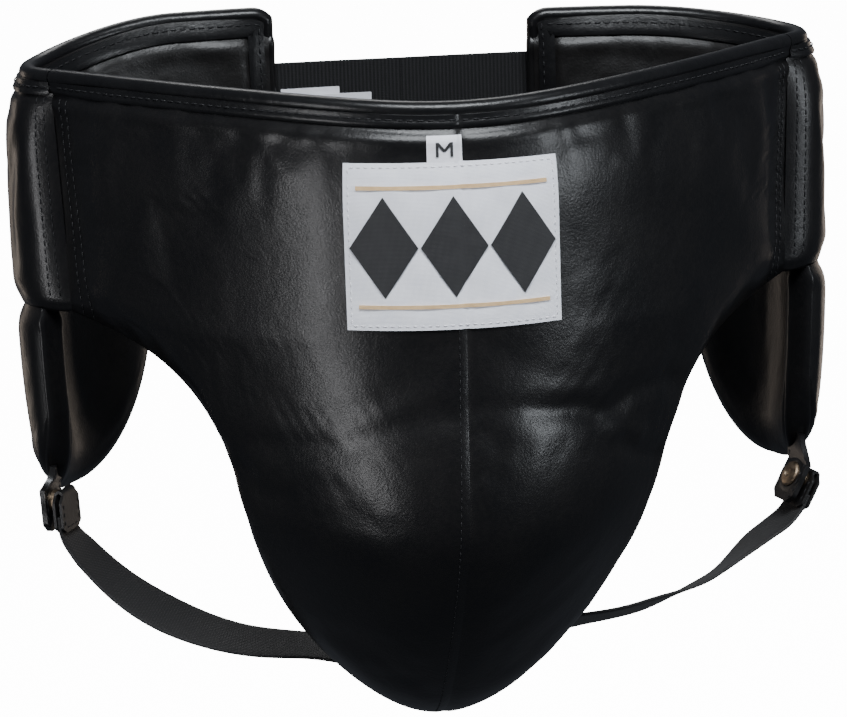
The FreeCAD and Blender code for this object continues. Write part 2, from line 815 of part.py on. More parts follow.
def bind_point(sketch, geometry, end, corner, name):
    """Ties one sketch point to two Size values."""
    for axis, value in zip(("X", "Y"), corner):
        if value.value == 0.0:
            line = -2 if axis == "X" else -1
            sketch.addConstraint(Sketcher.Constraint("PointOnObject", geometry, end, line))
            continue
        rule = Sketcher.Constraint("Distance" + axis, -1, 1, geometry, end, value.value)
        index = sketch.addConstraint(rule)
        label = name + axis.lower()
        sketch.renameConstraint(index, label)
        sketch.setExpression("Constraints." + label, value.formula)


def add_polygon(sketch, corners, name):
    """A closed polygon whose corners are pairs of Size values."""
    count = len(corners)
    places = [Vector(x.value, y.value, 0) for x, y in corners]
    first = len(sketch.Geometry)
    for number in range(count):
        start, end = places[number], places[(number + 1) % count]
        sketch.addGeometry(Part.LineSegment(start, end), False)
    for number in range(count):
        following = first + (number + 1) % count
        rule = Sketcher.Constraint("Coincident", first + number, 2, following, 1)
        sketch.addConstraint(rule)
    for number, corner in enumerate(corners):
        bind_point(sketch, first + number, 1, corner, "%s_%d" % (name, number))


def add_circle(sketch, centre, radius, name):
    place = Vector(centre[0].value, centre[1].value, 0)
    index = sketch.addGeometry(Part.Circle(place, Vector(0, 0, 1), radius.value), False)
    bind_point(sketch, index, 3, centre, name)
    rule = sketch.addConstraint(Sketcher.Constraint("Radius", index, radius.value))
    sketch.renameConstraint(rule, name + "_radius")
    sketch.setExpression("Constraints." + name + "_radius", radius.formula)


def revolved_body(label, placement, corners):
    """A body of revolution about its own Z. corners are pairs of radius and height."""
    body = make_body(label, placement)
    sketch = add_sketch(body, label + "_profile", "XZ_Plane")
    add_polygon(sketch, corners, "corner")
    turn = body.newObject("PartDesign::Revolution", label + "_turn")
    turn.Profile = sketch
    turn.ReferenceAxis = (sketch, ["V_Axis"])
    turn.Angle = 360.0
    body.Tip = turn
    return body


def padded_body(label, placement, corners, length, role="XY_Plane", hole=None, midplane=False):
    """A prism with an optional round hole given as centre and radius."""
    body = make_body(label, placement)
    sketch = add_sketch(body, label + "_outline", role)
    add_polygon(sketch, corners, "corner")
    if hole:
        add_circle(sketch, hole[0], hole[1], "hole")
    pad = body.newObject("PartDesign::Pad", label + "_pad")
    pad.Profile = sketch
    pad.setExpression("Length", length.formula)
    pad.Midplane = midplane
    body.Tip = pad
    return body


def make_cap(name, place):
    """Domed cap with a dimple, on a post that goes through the tab into the socket."""
    tab = cell("tab_thickness")
    foot = cell("socket_roof")
    base = foot + tab
    post = cell("cap_post_radius")
    dome = base + cell("cap_height")
    corners = [
        (ZERO, ZERO),
        (post, ZERO),
        (post, base),
        (cell("cap_radius"), base),
        (cell("cap_radius"), base + cell("cap_rim_height")),
        (cell("cap_radius") * 0.86, dome - cell("cap_height") * 0.3),
        (cell("cap_radius") * 0.6, dome - cell("cap_height") * 0.08),
        (cell("cap_radius") * 0.38, dome),
        (cell("cap_dimple_radius"), dome - cell("cap_dimple_depth") * 0.5),
        (cell("cap_dimple_radius") * 0.5, dome - cell("cap_dimple_depth")),
        (ZERO, dome - cell("cap_dimple_depth")),
    ]
    start = -size("tab_thickness") / 2 - size("socket_roof")
    revolved_body("snap_cap_" + name, place.placement(start), corners)


def make_socket(name, place):
    outer = cell("socket_radius")
    bore = cell("socket_bore_radius")
    height = cell("socket_depth")
    ceiling = height - cell("socket_roof")
    hole = cell("hole_radius")
    corners = [
        (bore, ZERO),
        (outer, ZERO),
        (outer, height - cell("socket_roof") * 0.5),
        (outer - cell("socket_roof") * 0.5, height),
        (hole, height),
        (hole, ceiling),
        (bore, ceiling),
    ]
    start = -size("tab_thickness") / 2 - size("socket_depth")
    revolved_body("snap_socket_" + name, place.placement(start), corners)


def stud_base_level():
    """Strap side of the stud base, measured towards the cap."""
    top = -size("tab_thickness") / 2 - size("socket_depth") - size("stud_gap")
    return top - size("stud_base_height")


def make_stud(name, place):
    bore = cell("stud_bore_radius")
    base = cell("stud_base_height")
    top = base + cell("stud_height")
    head = cell("stud_radius")
    corners = [
        (bore, ZERO),
        (cell("stud_base_radius"), ZERO),
        (cell("stud_base_radius"), base),
        (head, base),
        (head, top - base * 0.5),
        (head - base * 0.5, top),
        (bore, top),
    ]
    revolved_body("snap_stud_" + name, place.placement(stud_base_level()), corners)


def make_eyelet(name, place):
    barrel = cell("eyelet_barrel_radius")
    flange = cell("eyelet_height")
    top = flange + cell("ply_thickness") + cell("stud_base_height")
    corners = [
        (ZERO, ZERO),
        (cell("eyelet_radius"), ZERO),
        (cell("eyelet_radius"), flange),
        (barrel, flange),
        (barrel, top),
        (ZERO, top),
    ]
    start = stud_base_level() - size("ply_thickness") - size("eyelet_height")
    revolved_body("snap_eyelet_" + name, place.placement(start), corners)


def make_strap_end(name, place):
    """The end of the leg strap, folded over the eyelet, with a hole in the near ply."""
    level = stud_base_level()
    body = make_body("strap_end_" + name, place.placement(level))
    ply = cell("ply_thickness")
    total = ply * 2 + cell("ply_gap")
    above = cell("strap_end_above")
    below = cell("strap_end_below")
    bend = ply * 0.6
    corners = [
        (ZERO - below, ZERO),
        (ZERO - below, ZERO - ply),
        (above - ply, ZERO - ply),
        (above - ply, ply - total),
        (ZERO - below, ply - total),
        (ZERO - below, ZERO - total),
        (above - bend, ZERO - total),
        (above, bend - total),
        (above, ZERO - bend),
        (above - bend, ZERO),
    ]
    sketch = add_sketch(body, "strap_end_%s_fold" % name, "YZ_Plane")
    add_polygon(sketch, corners, "corner")
    pad = body.newObject("PartDesign::Pad", "strap_end_%s_pad" % name)
    pad.Profile = sketch
    pad.setExpression("Length", "Sizes.strap_width")
    pad.Midplane = True
    doc.recompute()
    before = pad.Shape.Volume
    cut = add_sketch(body, "strap_end_%s_hole" % name, "XY_Plane")
    add_circle(cut, (ZERO, ZERO), cell("hole_radius"), "hole")
    pocket = body.newObject("PartDesign::Pocket", "strap_end_%s_bore" % name)
    pocket.Profile = cut
    pocket.setExpression("Length", ply.formula)
    doc.recompute()
    drilled = pocket.Shape.Volume
    trim = add_sketch(body, "strap_end_%s_corners" % name, "XY_Plane")
    half = cell("strap_width") * 0.5
    corner_cut = cell("strap_end_cut")
    for number, sign in enumerate((1, -1)):
        triangle = [
            (half * sign, above - corner_cut),
            (half * sign, above),
            ((half - corner_cut) * sign, above),
        ]
        add_polygon(trim, triangle, "corner%d" % number)
    shaped = body.newObject("PartDesign::Pocket", "strap_end_%s_shape" % name)
    shaped.Profile = trim
    shaped.Type = "ThroughAll"
    body.Tip = shaped
    doc.recompute()
    if drilled > before - 1.0 or shaped.Shape.Volume > drilled - 1.0:
        raise RuntimeError("a pocket in the strap end cuts nothing")


def tab_section(centre, across, normal, width, thickness):
    """Corners of the tab's rectangular section."""
    side = across * (width / 2)
    face = normal * (thickness / 2)
    return [centre - side - face, centre + side - face,
            centre + side + face, centre - side + face]


def make_hip_tab(name, place):
    """A leather tab sewn in the hip pad's lower front corner. It turns from the pad's plane
    to the stud's plane, and its lower end has cut corners and the hole for the cap's post."""
    wing = wings[name]
    width = size("tab_width")
    thickness = size("tab_thickness")
    root_s = size("hip_start") + 13.0
    root_z = wing.hip_low(root_s) + 4.0
    root_depth = wing.hip_thickness(root_s, root_z) / 2
    root = wing.hip_at(root_s, root_z, root_depth)
    point, outward = wing.frame(root_s)
    root_normal = wing.mirrored(outward)
    root_across = Vector(0, 0, 1).cross(root_normal) * -wing.side
    flat_top = place.centre - place.down * (size("cap_radius") + 1.0)
    turning = root - Vector(0, 0, 6.0)
    sections = []
    for share in spread(0.0, 1.0, 7):
        blend = smooth_step(share, 0.0, 1.0)
        normal = (root_normal * (1 - blend) + place.outward * blend).normalize()
        across = root_across * (1 - blend) + place.across * blend
        across = (across - normal * across.dot(normal)).normalize()
        rest = 1 - share
        centre = root * rest ** 2 + turning * (2 * share * rest) + flat_top * share ** 2
        sections.append(tab_section(centre, across, normal, width, thickness))
    neck = section_loft(sections)
    end = place.centre + place.down * size("tab_below")
    cut = size("tab_chamfer")
    shoulder = end - place.down * cut
    side = place.across * (width / 2)
    small = place.across * (width / 2 - cut)
    face = place.outward * (thickness / 2)
    outline = [flat_top - side, shoulder - side, end - small, end + small,
               shoulder + side, flat_top + side]
    plate_face = Part.Face(Part.makePolygon([p - face for p in outline + outline[:1]]))
    plate = plate_face.extrude(place.outward * thickness)
    hole = Part.makeCylinder(size("hole_radius"), thickness * 3,
                             place.centre - place.outward * (thickness * 1.5), place.outward)
    add_solid("hip_tab_" + name, neck.fuse(plate).removeSplitter().cut(hole))


# Middle line of each leg strap between the stud and the cup, chosen by hand.
STRAP_ROUTES = {
    "left": [Vector(-153.0, -5.0, -204.5), Vector(-133.5, -11.5, -223.5),
             Vector(-110.5, -17.5, -237.0), Vector(-84.0, -23.5, -245.0),
             Vector(-57.0, -24.0, -249.0), Vector(-39.0, -31.0, -250.5)],
    "right": [Vector(142.0, -6.0, -218.0), Vector(122.0, -13.5, -230.5),
              Vector(98.0, -19.5, -239.0), Vector(72.0, -24.5, -243.5),
              Vector(52.0, -24.5, -246.0), Vector(30.0, -33.5, -249.0)],
}

# Direction across each strap, towards its front edge, at shares of its length.
STRAP_TURNS = {
    "left": [(0.35, Vector(-0.616, -0.764, -0.24)), (0.8, Vector(0.0, -0.98, -0.2))],
    "right": [(0.12, Vector(0.08, -1.0, 0.03)), (0.3, Vector(-0.11, -0.97, 0.22)),
              (0.5, Vector(-0.17, -0.89, 0.43))],
}

# How far the middle of each strap's end lies behind the cup's lining, at the anchor.
STRAP_LIFT = {"left": 6.2, "right": 4.7}


def make_leg_strap(name, place):
    side = place.side
    ply = size("ply_thickness")
    middle = stud_base_level() - ply - size("ply_gap") / 2
    start = place.centre + place.cap * middle + place.down * (size("strap_end_below") + 3 * GAP)
    anchor_u, anchor_v = 0.055 * side, 0.955
    lift = front.thickness(anchor_u, anchor_v) + STRAP_LIFT[name]
    finish = front.at(anchor_u, anchor_v, lift)
    inside = front.outward(anchor_u, anchor_v) * -1
    leave = start + place.down * 3.0
    route = Curve([start, leave] + STRAP_ROUTES[name] + [finish])
    end_across = inside.cross(Vector(-side, 0, 0)) * side
    stops = [(0.0, place.across)] + STRAP_TURNS[name] + [(1.0, end_across)]
    sections = []
    for share in spread(0.0, 1.0, 25):
        along = route.direction(share * route.length)
        for (low, first), (high, last) in zip(stops, stops[1:]):
            if low <= share <= high:
                blend = smooth_step(share, low, high)
                across = first * (1 - blend) + last * blend
                break
        across = (across - along * across.dot(along)).normalize()
        normal = along.cross(across).normalize()
        sections.append(tab_section(route.point(share * route.length), across, normal,
                                    size("strap_width"), size("strap_thickness")))
    print("leg strap %s: %.1f mm" % (name, route.length))
    add_solid("leg_strap_" + name, section_loft(sections))


def make_care_tags():
    """Two small woven tags that hang inside the waist elastic, by the left wing's end."""
    level = wings["left"].belt_at(wings["left"].length - 0.5, -30.0, 0.0).y
    for number in range(2):
        tag = doc.addObject("Part::Box", "care_tag_%d" % (number + 1))
        tag.Label = "care_tag_%d" % (number + 1)
        tag.setExpression("Length", "Sizes.care_tag_width")
        tag.setExpression("Width", "Sizes.care_tag_thickness")
        tag.setExpression("Height", "Sizes.care_tag_height - %d * 12" % number)
        left = size("care_tag_right") - size("care_tag_width") + number * size("care_tag_step")
        tall = size("care_tag_height") - 12.0 * number
        depth = level - 2.6 - 1.2 * number
        corner = Vector(left, depth, size("care_tag_top") - tall - 3.0 * number)
        tag.Placement = Placement(corner, Rotation())


def main():
    make_front_covers()
    make_front_padding()
    make_shell()
    make_front_binding()
    make_labels()
    make_strap_anchor()
    make_waist_elastic()
    make_care_tags()
    for name in ("left", "right"):
        place = StudPlace(name)
        make_wing(name)
        make_wing_binding(name)
        make_gusset(name)
        make_end_patch(name)
        make_hip_tab(name, place)
        make_cap(name, place)
        make_socket(name, place)
        make_stud(name, place)
        make_eyelet(name, place)
        make_strap_end(name, place)
        make_leg_strap(name, place)
    doc.recompute()


def export_parts():
    for item in doc.Objects:
        if "Invalid" in item.State or "Error" in item.State:
            raise RuntimeError("%s failed: %s" % (item.Label, item.State))
    kinds = ("PartDesign::Body", "Part::Feature", "Part::Box")
    parts = [item for item in doc.Objects if item.TypeId in kinds]
    for item in parts:
        if item.Shape.isNull() or not item.Shape.isValid():
            raise RuntimeError(item.Label + " has no valid shape")
    os.makedirs("parts", exist_ok=True)
    for item in parts:
        item.Shape.exportStep("parts/" + item.Label + ".step")
        volume = item.Shape.Volume / 1000
        print("%-24s %8.2f cm3, %d solid(s)" % (item.Label, volume, len(item.Shape.Solids)))


main()
export_parts()
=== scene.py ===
import math

import bpy
import numpy as np
from mathutils import Matrix, Vector


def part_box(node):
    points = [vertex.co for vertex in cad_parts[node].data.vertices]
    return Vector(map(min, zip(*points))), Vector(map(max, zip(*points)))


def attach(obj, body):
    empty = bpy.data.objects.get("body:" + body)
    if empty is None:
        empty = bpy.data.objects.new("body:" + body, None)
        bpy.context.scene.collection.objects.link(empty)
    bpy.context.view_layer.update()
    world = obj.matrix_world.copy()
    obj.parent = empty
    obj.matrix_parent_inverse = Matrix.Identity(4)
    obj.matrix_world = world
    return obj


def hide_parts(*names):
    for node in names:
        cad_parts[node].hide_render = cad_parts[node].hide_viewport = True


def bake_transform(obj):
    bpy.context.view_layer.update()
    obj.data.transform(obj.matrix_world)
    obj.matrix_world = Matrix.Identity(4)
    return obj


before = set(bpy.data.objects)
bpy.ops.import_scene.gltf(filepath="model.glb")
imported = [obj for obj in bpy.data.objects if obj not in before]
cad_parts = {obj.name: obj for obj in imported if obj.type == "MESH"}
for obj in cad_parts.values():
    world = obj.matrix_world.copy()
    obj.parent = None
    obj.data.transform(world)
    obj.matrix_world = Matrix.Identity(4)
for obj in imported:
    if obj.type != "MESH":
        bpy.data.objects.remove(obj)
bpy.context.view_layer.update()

# Lengths below are in millimetres and turn into metres when a mesh is made.
MM = 0.001
UP = np.array([0.0, 0.0, 1.0])
LEATHER, LINING, BINDING, GUSSET, ELASTIC = 1.2, 1.0, 0.9, 1.1, 1.2
# Stitches: length of one, spacing, radius of the thread.
BINDING_STITCH, SEAM_STITCH, FINE_STITCH = (3.0, 4.1, 0.34), (2.6, 3.4, 0.25), (2.4, 3.3, 0.22)
CENTRE_STITCHES = 2.325  # from the middle seam to its row of stitches


# ---------------------------------------------------------------- shape of the padded panels

def rise(distance, width):
    t = np.clip(np.asarray(distance, float) / width, 0.0, 1.0)
    return 1.0 - (1.0 - t) ** 2.2


def step(value, low, high):
    t = np.clip((np.asarray(value, float) - low) / (high - low), 0.0, 1.0)
    return t * t * (3.0 - 2.0 * t)


def unit(a):
    return a / np.maximum(np.linalg.norm(a, axis=-1, keepdims=True), 1e-9)


def bell(value, width):
    return np.exp(-((value / width) ** 2))


class Path:
    """A smooth curve through points, read by its arc length."""

    def __init__(self, points, samples=3001):
        p = np.array(points, float)
        t = np.concatenate([[0.0], np.cumsum(np.linalg.norm(np.diff(p, axis=0), axis=1))])
        n, h = len(t), np.diff(t)
        system, right = np.eye(n), np.zeros_like(p)
        for i in range(1, n - 1):
            system[i, i - 1:i + 2] = h[i - 1], 2 * (h[i - 1] + h[i]), h[i]
            right[i] = 6 * ((p[i + 1] - p[i]) / h[i] - (p[i] - p[i - 1]) / h[i - 1])
        m = np.linalg.solve(system, right)
        x = np.linspace(0.0, t[-1], samples)
        k = np.clip(np.searchsorted(t, x, side="right") - 1, 0, n - 2)
        a, b, w = (t[k + 1] - x)[:, None], (x - t[k])[:, None], h[k][:, None]
        self.points = (m[k] * a ** 3 + m[k + 1] * b ** 3) / (6 * w)
        self.points += (p[k] / w - m[k] * w / 6) * a + (p[k + 1] / w - m[k + 1] * w / 6) * b
        steps = np.linalg.norm(np.diff(self.points, axis=0), axis=1)
        self.s = np.concatenate([[0.0], np.cumsum(steps)])
        self.length = float(self.s[-1])
        self.tangents = unit(np.gradient(self.points, axis=0))

    def read(self, table, s):
        return np.stack([np.interp(s, self.s, column) for column in table.T], -1)

    def at(self, s):
        return self.read(self.points, s)

    def along(self, s):
        return unit(self.read(self.tangents, s))


def line_distance(x, z, points):
    """Distance to a polyline, and how far along it from 0 to 1 the nearest place is."""
    p = np.array(points, float)
    q = np.stack([x, z], -1)
    lengths = np.linalg.norm(np.diff(p, axis=0), axis=1)
    starts = np.concatenate([[0.0], np.cumsum(lengths)])
    best = np.full(q.shape[:-1], 1e9)
    share = np.zeros(q.shape[:-1])
    for k, (a, b) in enumerate(zip(p, p[1:])):
        t = np.clip(((q - a) @ (b - a)) / lengths[k] ** 2, 0, 1)
        d = np.linalg.norm(q - a - t[..., None] * (b - a), axis=-1)
        near = d < best
        best = np.where(near, d, best)
        share = np.where(near, (starts[k] + t * lengths[k]) / starts[-1], share)
    return best, share


def groove(x, z, points, depth, width, fade=0.18):
    """Depth of a soft furrow along a polyline that fades in and out at its ends."""
    distance, share = line_distance(x, z, points)
    ends = step(share, 0.0, fade) * (1 - step(share, 1 - fade, 1.0)) if fade else 1.0
    return depth * bell(distance, width) * ends


class Pad:
    """A padded panel. a and b are its two surface coordinates, depth counts inwards."""

    span = (0.0, 1.0)

    def __init__(self):
        self.waves = {}

    def bottom(self, a):
        """Where b ends, so that the folded edge stays inside the outline."""
        return 1.0

    def slack(self, a, b):
        """How free the leather is to wrinkle."""
        return 1.0

    def wrinkle(self, face, a, b):
        """Height of the simulated wrinkles, read smoothly from the simulated grid."""
        h = self.waves.get(face)
        if h is None:
            return 0.0 * a
        low, high = self.span
        ia = np.clip((a - low) / (high - low), 0, 1) * (h.shape[0] - 1)
        ib = np.clip(b / self.bottom(a), 0, 1) * (h.shape[1] - 1)

        def weights(t):
            t = t[..., None]
            return np.concatenate([-t ** 3 + 2 * t ** 2 - t, 3 * t ** 3 - 5 * t ** 2 + 2,
                                   -3 * t ** 3 + 4 * t ** 2 + t, t ** 3 - t ** 2], -1) / 2
        ka = np.minimum(ia.astype(int), h.shape[0] - 2)
        kb = np.minimum(ib.astype(int), h.shape[1] - 2)
        wa, wb = weights(ia - ka), weights(ib - kb)
        total = 0.0
        for i in range(4):
            row = np.clip(ka + i - 1, 0, h.shape[0] - 1)
            for j in range(4):
                column = np.clip(kb + j - 1, 0, h.shape[1] - 1)
                total = total + wa[..., i] * wb[..., j] * h[row, column]
        return total

    def skin(self, face, a, b, lift=0.0, waves=True):
        """A place on the outer or inner skin, lifted off it by lift."""
        a, b = np.broadcast_arrays(np.asarray(a, float), np.asarray(b, float))
        height = lift + self.relief(face, a, b)
        if waves:
            height = height + self.wrinkle(face, a, b) * self.slack(a, b)
        if face == "outer":
            return self.place(a, b, -height)
        return self.place(a, b, self.thickness(a, b) + height)


# ---- front panel: a runs from the left seam (-1) to the right seam (1), b from the rim down

LOWER_EDGE = [(151, 101), (118, 113), (97, 135), (88, 156), (79, 190), (65, 224), (38, 256),
              (0, 275)]
HALF = 155.0  # from the middle to the side seams
EDGE = 5.0  # thickness of a panel at its seams
LABEL = (-42.0, 35.0, -90.5, -24.5)  # left, right, bottom and top of the woven label

CREASE_CUP = [(-97, -136), (-78, -141), (-45, -139), (-20, -128), (0, -124), (22, -125),
              (42, -128), (54, -133), (66, -126), (82, -124), (97, -135)]


class Front(Pad):
    span = (-1.0, 1.0)

    def __init__(self):
        super().__init__()
        side = [(x, -depth) for x, depth in LOWER_EDGE]
        self.lower = Path([(-x, z) for x, z in side] + side[-2::-1])

    def low(self, a):
        return self.lower.at((a + 1) * self.lower.length / 2)

    def flat(self, a, b):
        low = self.low(a)
        x, z = HALF * a, -4.0 * bell(HALF * a, 60.0)
        return x + (low[..., 0] - x) * b, z + (low[..., 1] - z) * b

    def column(self, a):
        return -self.low(a)[..., 1]

    def bottom(self, a):
        return 1 - 2.2 / self.column(a)

    def surface_y(self, x, z):
        down = -z
        bow = 120.0 * (1 - (1 - np.minimum((x / 167.0) ** 2, 1.0)) ** 1.25)
        swell = 10.0 * bell(down - 160.0, 40.0)
        tuck = 45.0 * np.maximum((down - 170.0) / 80.0, 0.0) ** 1.8
        narrowing = 1 + 1.6 * np.clip((down - 95.0) / 155.0, 0.0, 1.2) ** 1.2
        return -120.0 - swell + tuck + narrowing * bow

    def base(self, a, b):
        x, z = self.flat(a, b)
        drift = -5.0 * np.maximum(-z - 100.0, 0.0) / 175.0
        return np.stack([x + drift, self.surface_y(x, z), z], -1)

    def outward(self, a, b):
        x, z = self.flat(a, b)
        sx = self.surface_y(x + 0.5, z) - self.surface_y(x - 0.5, z)
        sz = self.surface_y(x, z + 0.5) - self.surface_y(x, z - 0.5)
        return unit(np.stack([sx, -np.ones_like(sx), sz], -1))

    def thickness(self, a, b):
        height = self.column(a)
        r = rise(b * height, 45.0) * rise((1 - np.abs(a)) * HALF, 30.0)
        r = r * rise((1 - b) * height, 26.0)
        low = step(b * height, 100.0, 160.0)
        return EDGE + (20.0 * (1 - low) + 17.0 * low - EDGE) * r

    def place(self, a, b, depth):
        bulge = 0.55 * (self.thickness(a, b) - EDGE)
        return self.base(a, b) + self.outward(a, b) * np.asarray(bulge - depth)[..., None]

    def relief(self, face, a, b):
        x, z = self.flat(a, b)
        down = b * self.column(a)
        if face == "inner":
            return -0.5 * bell(down - 10.0, 2.5) - 0.6 * bell(x, 2.0)
        h = -1.1 * bell(down - 8.6, 1.8) + 0.9 * bell(down - 13.0, 3.0)
        h = h - 0.8 * bell(x, 1.1) - 0.3 * bell(x, 7.0) * step(down, 8.0, 20.0)
        crease = 0.3 + 0.7 * step(x, 10.0, 50.0)
        h = h - groove(x, z, CREASE_CUP, 1.5, 5.0, 0.08) * crease
        h = h - groove(x, z, CREASE_CUP, 0.8, 14.0, 0.08) * crease
        seam = (1 - np.abs(a)) * HALF
        h = h - 0.25 * bell(seam - 4.9, 3.0)
        for points, depth, width in FRONT_FOLDS:
            h = h - groove(x, z, points, depth, width)
        return h * rise((1 - b) * self.column(a), 8.0)

    def slack(self, a, b):
        x, z = self.flat(a, b)
        left, right, low, top = LABEL
        beside = np.maximum(np.abs(x - (left + right) / 2) - (right - left) / 2,
                            np.abs(z - (low + top) / 2) - (top - low) / 2)
        label = step(beside, 0.0, 9.0)
        middle = step(b * self.column(a), 26.0, 60.0) * step((1 - np.abs(a)) * HALF, 20.0, 60.0)
        full = 1 - 0.6 * middle
        return label * full

    def find(self, x, z):
        a = np.asarray(x, float) / HALF
        b = 0.5 + 0.0 * a
        for _ in range(20):
            top, low = self.flat(a, 0.0 * a)[1], self.flat(a, 0.0 * a + 1)[1]
            b = (z - top) / (low - top)
            a = a + (x - self.flat(a, b)[0]) / HALF
        return a, b


# Small folds in the front leather: places by x and z, depth, width. Negative depth is a ridge.
FRONT_FOLDS = [
    ([(58, -141), (70, -152), (84, -158)], 1.2, 4.0),
    ([(50, -132), (62, -142), (74, -146)], -0.8, 4.0),
    ([(-88, -150), (-74, -160), (-60, -163)], 0.8, 5.0),
    ([(-92, -141), (-84, -147), (-78, -156)], 1.0, 3.5),
    ([(4, -128), (10, -140), (6, -154)], 0.5, 4.0),
]


# ---- wings: a runs from the seam to the back end, b from the top edge down

class Belt(Pad):
    CORNER = 10.0
    BOTTOM = -97.6

    def __init__(self, side, climb):
        super().__init__()
        self.side, self.climb = side, climb
        points = [(155.0, -12.0), (161.5, -4.5)]
        power = 2 / 2.85
        last = math.acos((56.0 / 167.0) ** (1 / power))
        for angle in np.linspace(math.radians(8), last, 7):
            points.append((167.0 * math.cos(angle) ** power, 80.0 * math.sin(angle) ** power))
        self.path = Path(points)
        self.length = self.path.length

    def outer_direction(self, s):
        t = self.path.along(s)
        return np.stack([t[..., 1] * self.side, -t[..., 0], 0 * t[..., 0]], -1)

    def along(self, s):
        t = self.path.along(s)
        return np.stack([t[..., 0] * self.side, t[..., 1], 0 * t[..., 0]], -1)

    def rim(self, s):
        return self.climb * step(s, 40.0, 125.0)

    def limits(self, s):
        """Top and bottom of the belt at s, with rounded corners at the back end."""
        over = np.clip(s - (self.length - self.CORNER), 0.0, self.CORNER)
        drop = self.CORNER - np.sqrt(np.maximum(self.CORNER ** 2 - over ** 2, 0.0))
        return self.rim(s) - drop, self.BOTTOM + drop

    def split(self, a, b):
        s = a * (self.length - 2.2)
        top, low = self.limits(s)
        return s, top + (low - top) * b

    def thickness_at(self, s, z):
        r = rise(self.rim(s) - z, 38.0) * rise(s, 18.0) * rise(self.length - s, 34.0)
        r = r * (0.6 + 0.4 * rise(z + 100.0, 16.0))
        return EDGE + 16.0 * r

    def thickness(self, a, b):
        return self.thickness_at(*self.split(a, b))

    def at(self, s, z, depth):
        p = self.path.at(np.clip(s, 0, self.length))
        seam = front.base(self.side * np.ones_like(s), np.clip(-z / 101.0, 0, 1))
        near = (1 - step(s, 0.0, 26.0))[..., None]
        point = np.stack([p[..., 0] * self.side, p[..., 1], z], -1)
        shift = seam - np.array([155.0 * self.side, -12.0, 0.0])
        shift[..., 2] = 0.0
        bulge = 0.55 * (self.thickness_at(s, z) - EDGE)
        outward = self.outer_direction(s)
        return point + shift * near + outward * np.asarray(bulge - depth)[..., None]

    def place(self, a, b, depth):
        s, z = self.split(a, b)
        return self.at(s, z, depth)

    def slack(self, a, b):
        return step(self.split(a, b)[0], 6.0, 26.0)

    def relief(self, face, a, b):
        s, z = self.split(a, b)
        down = self.rim(s) - z
        h = 0.0 * s
        if face == "outer":
            h = h - 0.9 * bell(down - 8.6, 1.8) - 0.25 * bell(s - 4.9, 3.0)
            folds = WING_FOLDS["outer"]
        else:
            h = h - 1.2 * bell(down - 10.0, 2.0) - 1.0 * bell(self.length - s - 11.0, 2.2)
            h = h + 0.8 * bell(down - 15.0, 4.0)
            folds = WING_FOLDS["left" if self.side < 0 else "right"]
        for points, depth, width in folds:
            h = h - groove(s, z, points, depth, width, 0.25)
        return h


# Creases by distance from the seam and height: the inner faces of each wing, and outside.
WING_FOLDS = {
    "outer": [([(14, -20), (24, -60), (20, -92)], 0.8, 4.0), ([(40, -30), (52, -70)], 0.5, 6.0)],
    "left": [([(52, -8), (57, -30), (54, -62)], 3.0, 3.2),
             ([(78, -4), (84, -30), (80, -60)], 1.6, 4.5),
             ([(66, -14), (69, -44)], -1.2, 5.0), ([(110, -20), (104, -60)], 0.9, 6.0)],
    "right": [([(22, -6), (34, -22), (40, -46)], 1.6, 2.6),
              ([(30, -4), (44, -20), (52, -44)], 1.6, 3.0),
              ([(40, -4), (56, -22), (62, -50)], 1.4, 3.2),
              ([(54, -4), (70, -24), (76, -52)], 1.2, 3.8),
              ([(96, -16), (92, -60)], 0.9, 6.0)],
}


class Hip(Pad):
    FIRST = 7.0
    TOP = -98.6

    def __init__(self, belt, reach, drop):
        super().__init__()
        self.belt, self.reach, self.drop = belt, reach, drop
        self.side = belt.side

    def low(self, s):
        middle = (self.FIRST + self.reach) / 2
        half = (self.reach - self.FIRST) / 2 + 1.0
        share = np.minimum(np.abs(s - middle) / half, 0.99)
        power = np.where(s < middle, 3.0, 2.2)
        fall = (1 - share ** power) ** (1 / power)
        return -100.6 - (self.drop - 100.6 - 1.5) * fall

    def split(self, a, b):
        s = self.FIRST + 1.5 + a * (self.reach - self.FIRST - 3.0)
        return s, self.TOP + (self.low(s) - self.TOP) * b

    def thickness_at(self, s, z):
        edge = EDGE + 10.0 * (1 - step(s, 12.0, 34.0))
        r = rise(z - self.low(s), 24.0) * rise(self.reach - s, 24.0)
        return edge + (15.0 - edge) * r

    def thickness(self, a, b):
        return self.thickness_at(*self.split(a, b))

    def at(self, s, z, depth):
        p = self.belt.path.at(s)
        lean = 6.0 * (np.maximum(-100.6 - z, 0.0) / 87.0) ** 2
        offset = 0.5 * self.thickness_at(s, z) - lean - depth
        point = np.stack([p[..., 0] * self.side, p[..., 1], z], -1)
        return point + self.belt.outer_direction(s) * np.asarray(offset)[..., None]

    def place(self, a, b, depth):
        return self.at(*self.split(a, b), depth)

    def slack(self, a, b):
        return 0.55

    def relief(self, face, a, b):
        s, z = self.split(a, b)
        h = -3.2 * bell(self.TOP - z, 5.0)
        border = np.minimum(np.minimum(s - self.FIRST - 1.5, self.reach - s - 1.5),
                            (z - self.low(s)) * 0.8)
        h = h - 1.6 * (1 - rise(border, 5.0)) * step(self.TOP - z, 2.0, 12.0)
        h = h + 0.9 * bell(border - 12.0, 7.0)
        return h


front = Front()
belts = {"left": Belt(-1, 11.0), "right": Belt(1, 5.0)}
hips = {"left": Hip(belts["left"], 108.0, 187.0), "right": Hip(belts["right"], 98.0, 192.0)}
SIDES = ("left", "right")


# ---------------------------------------------------------------- wrinkles from a cloth simulation

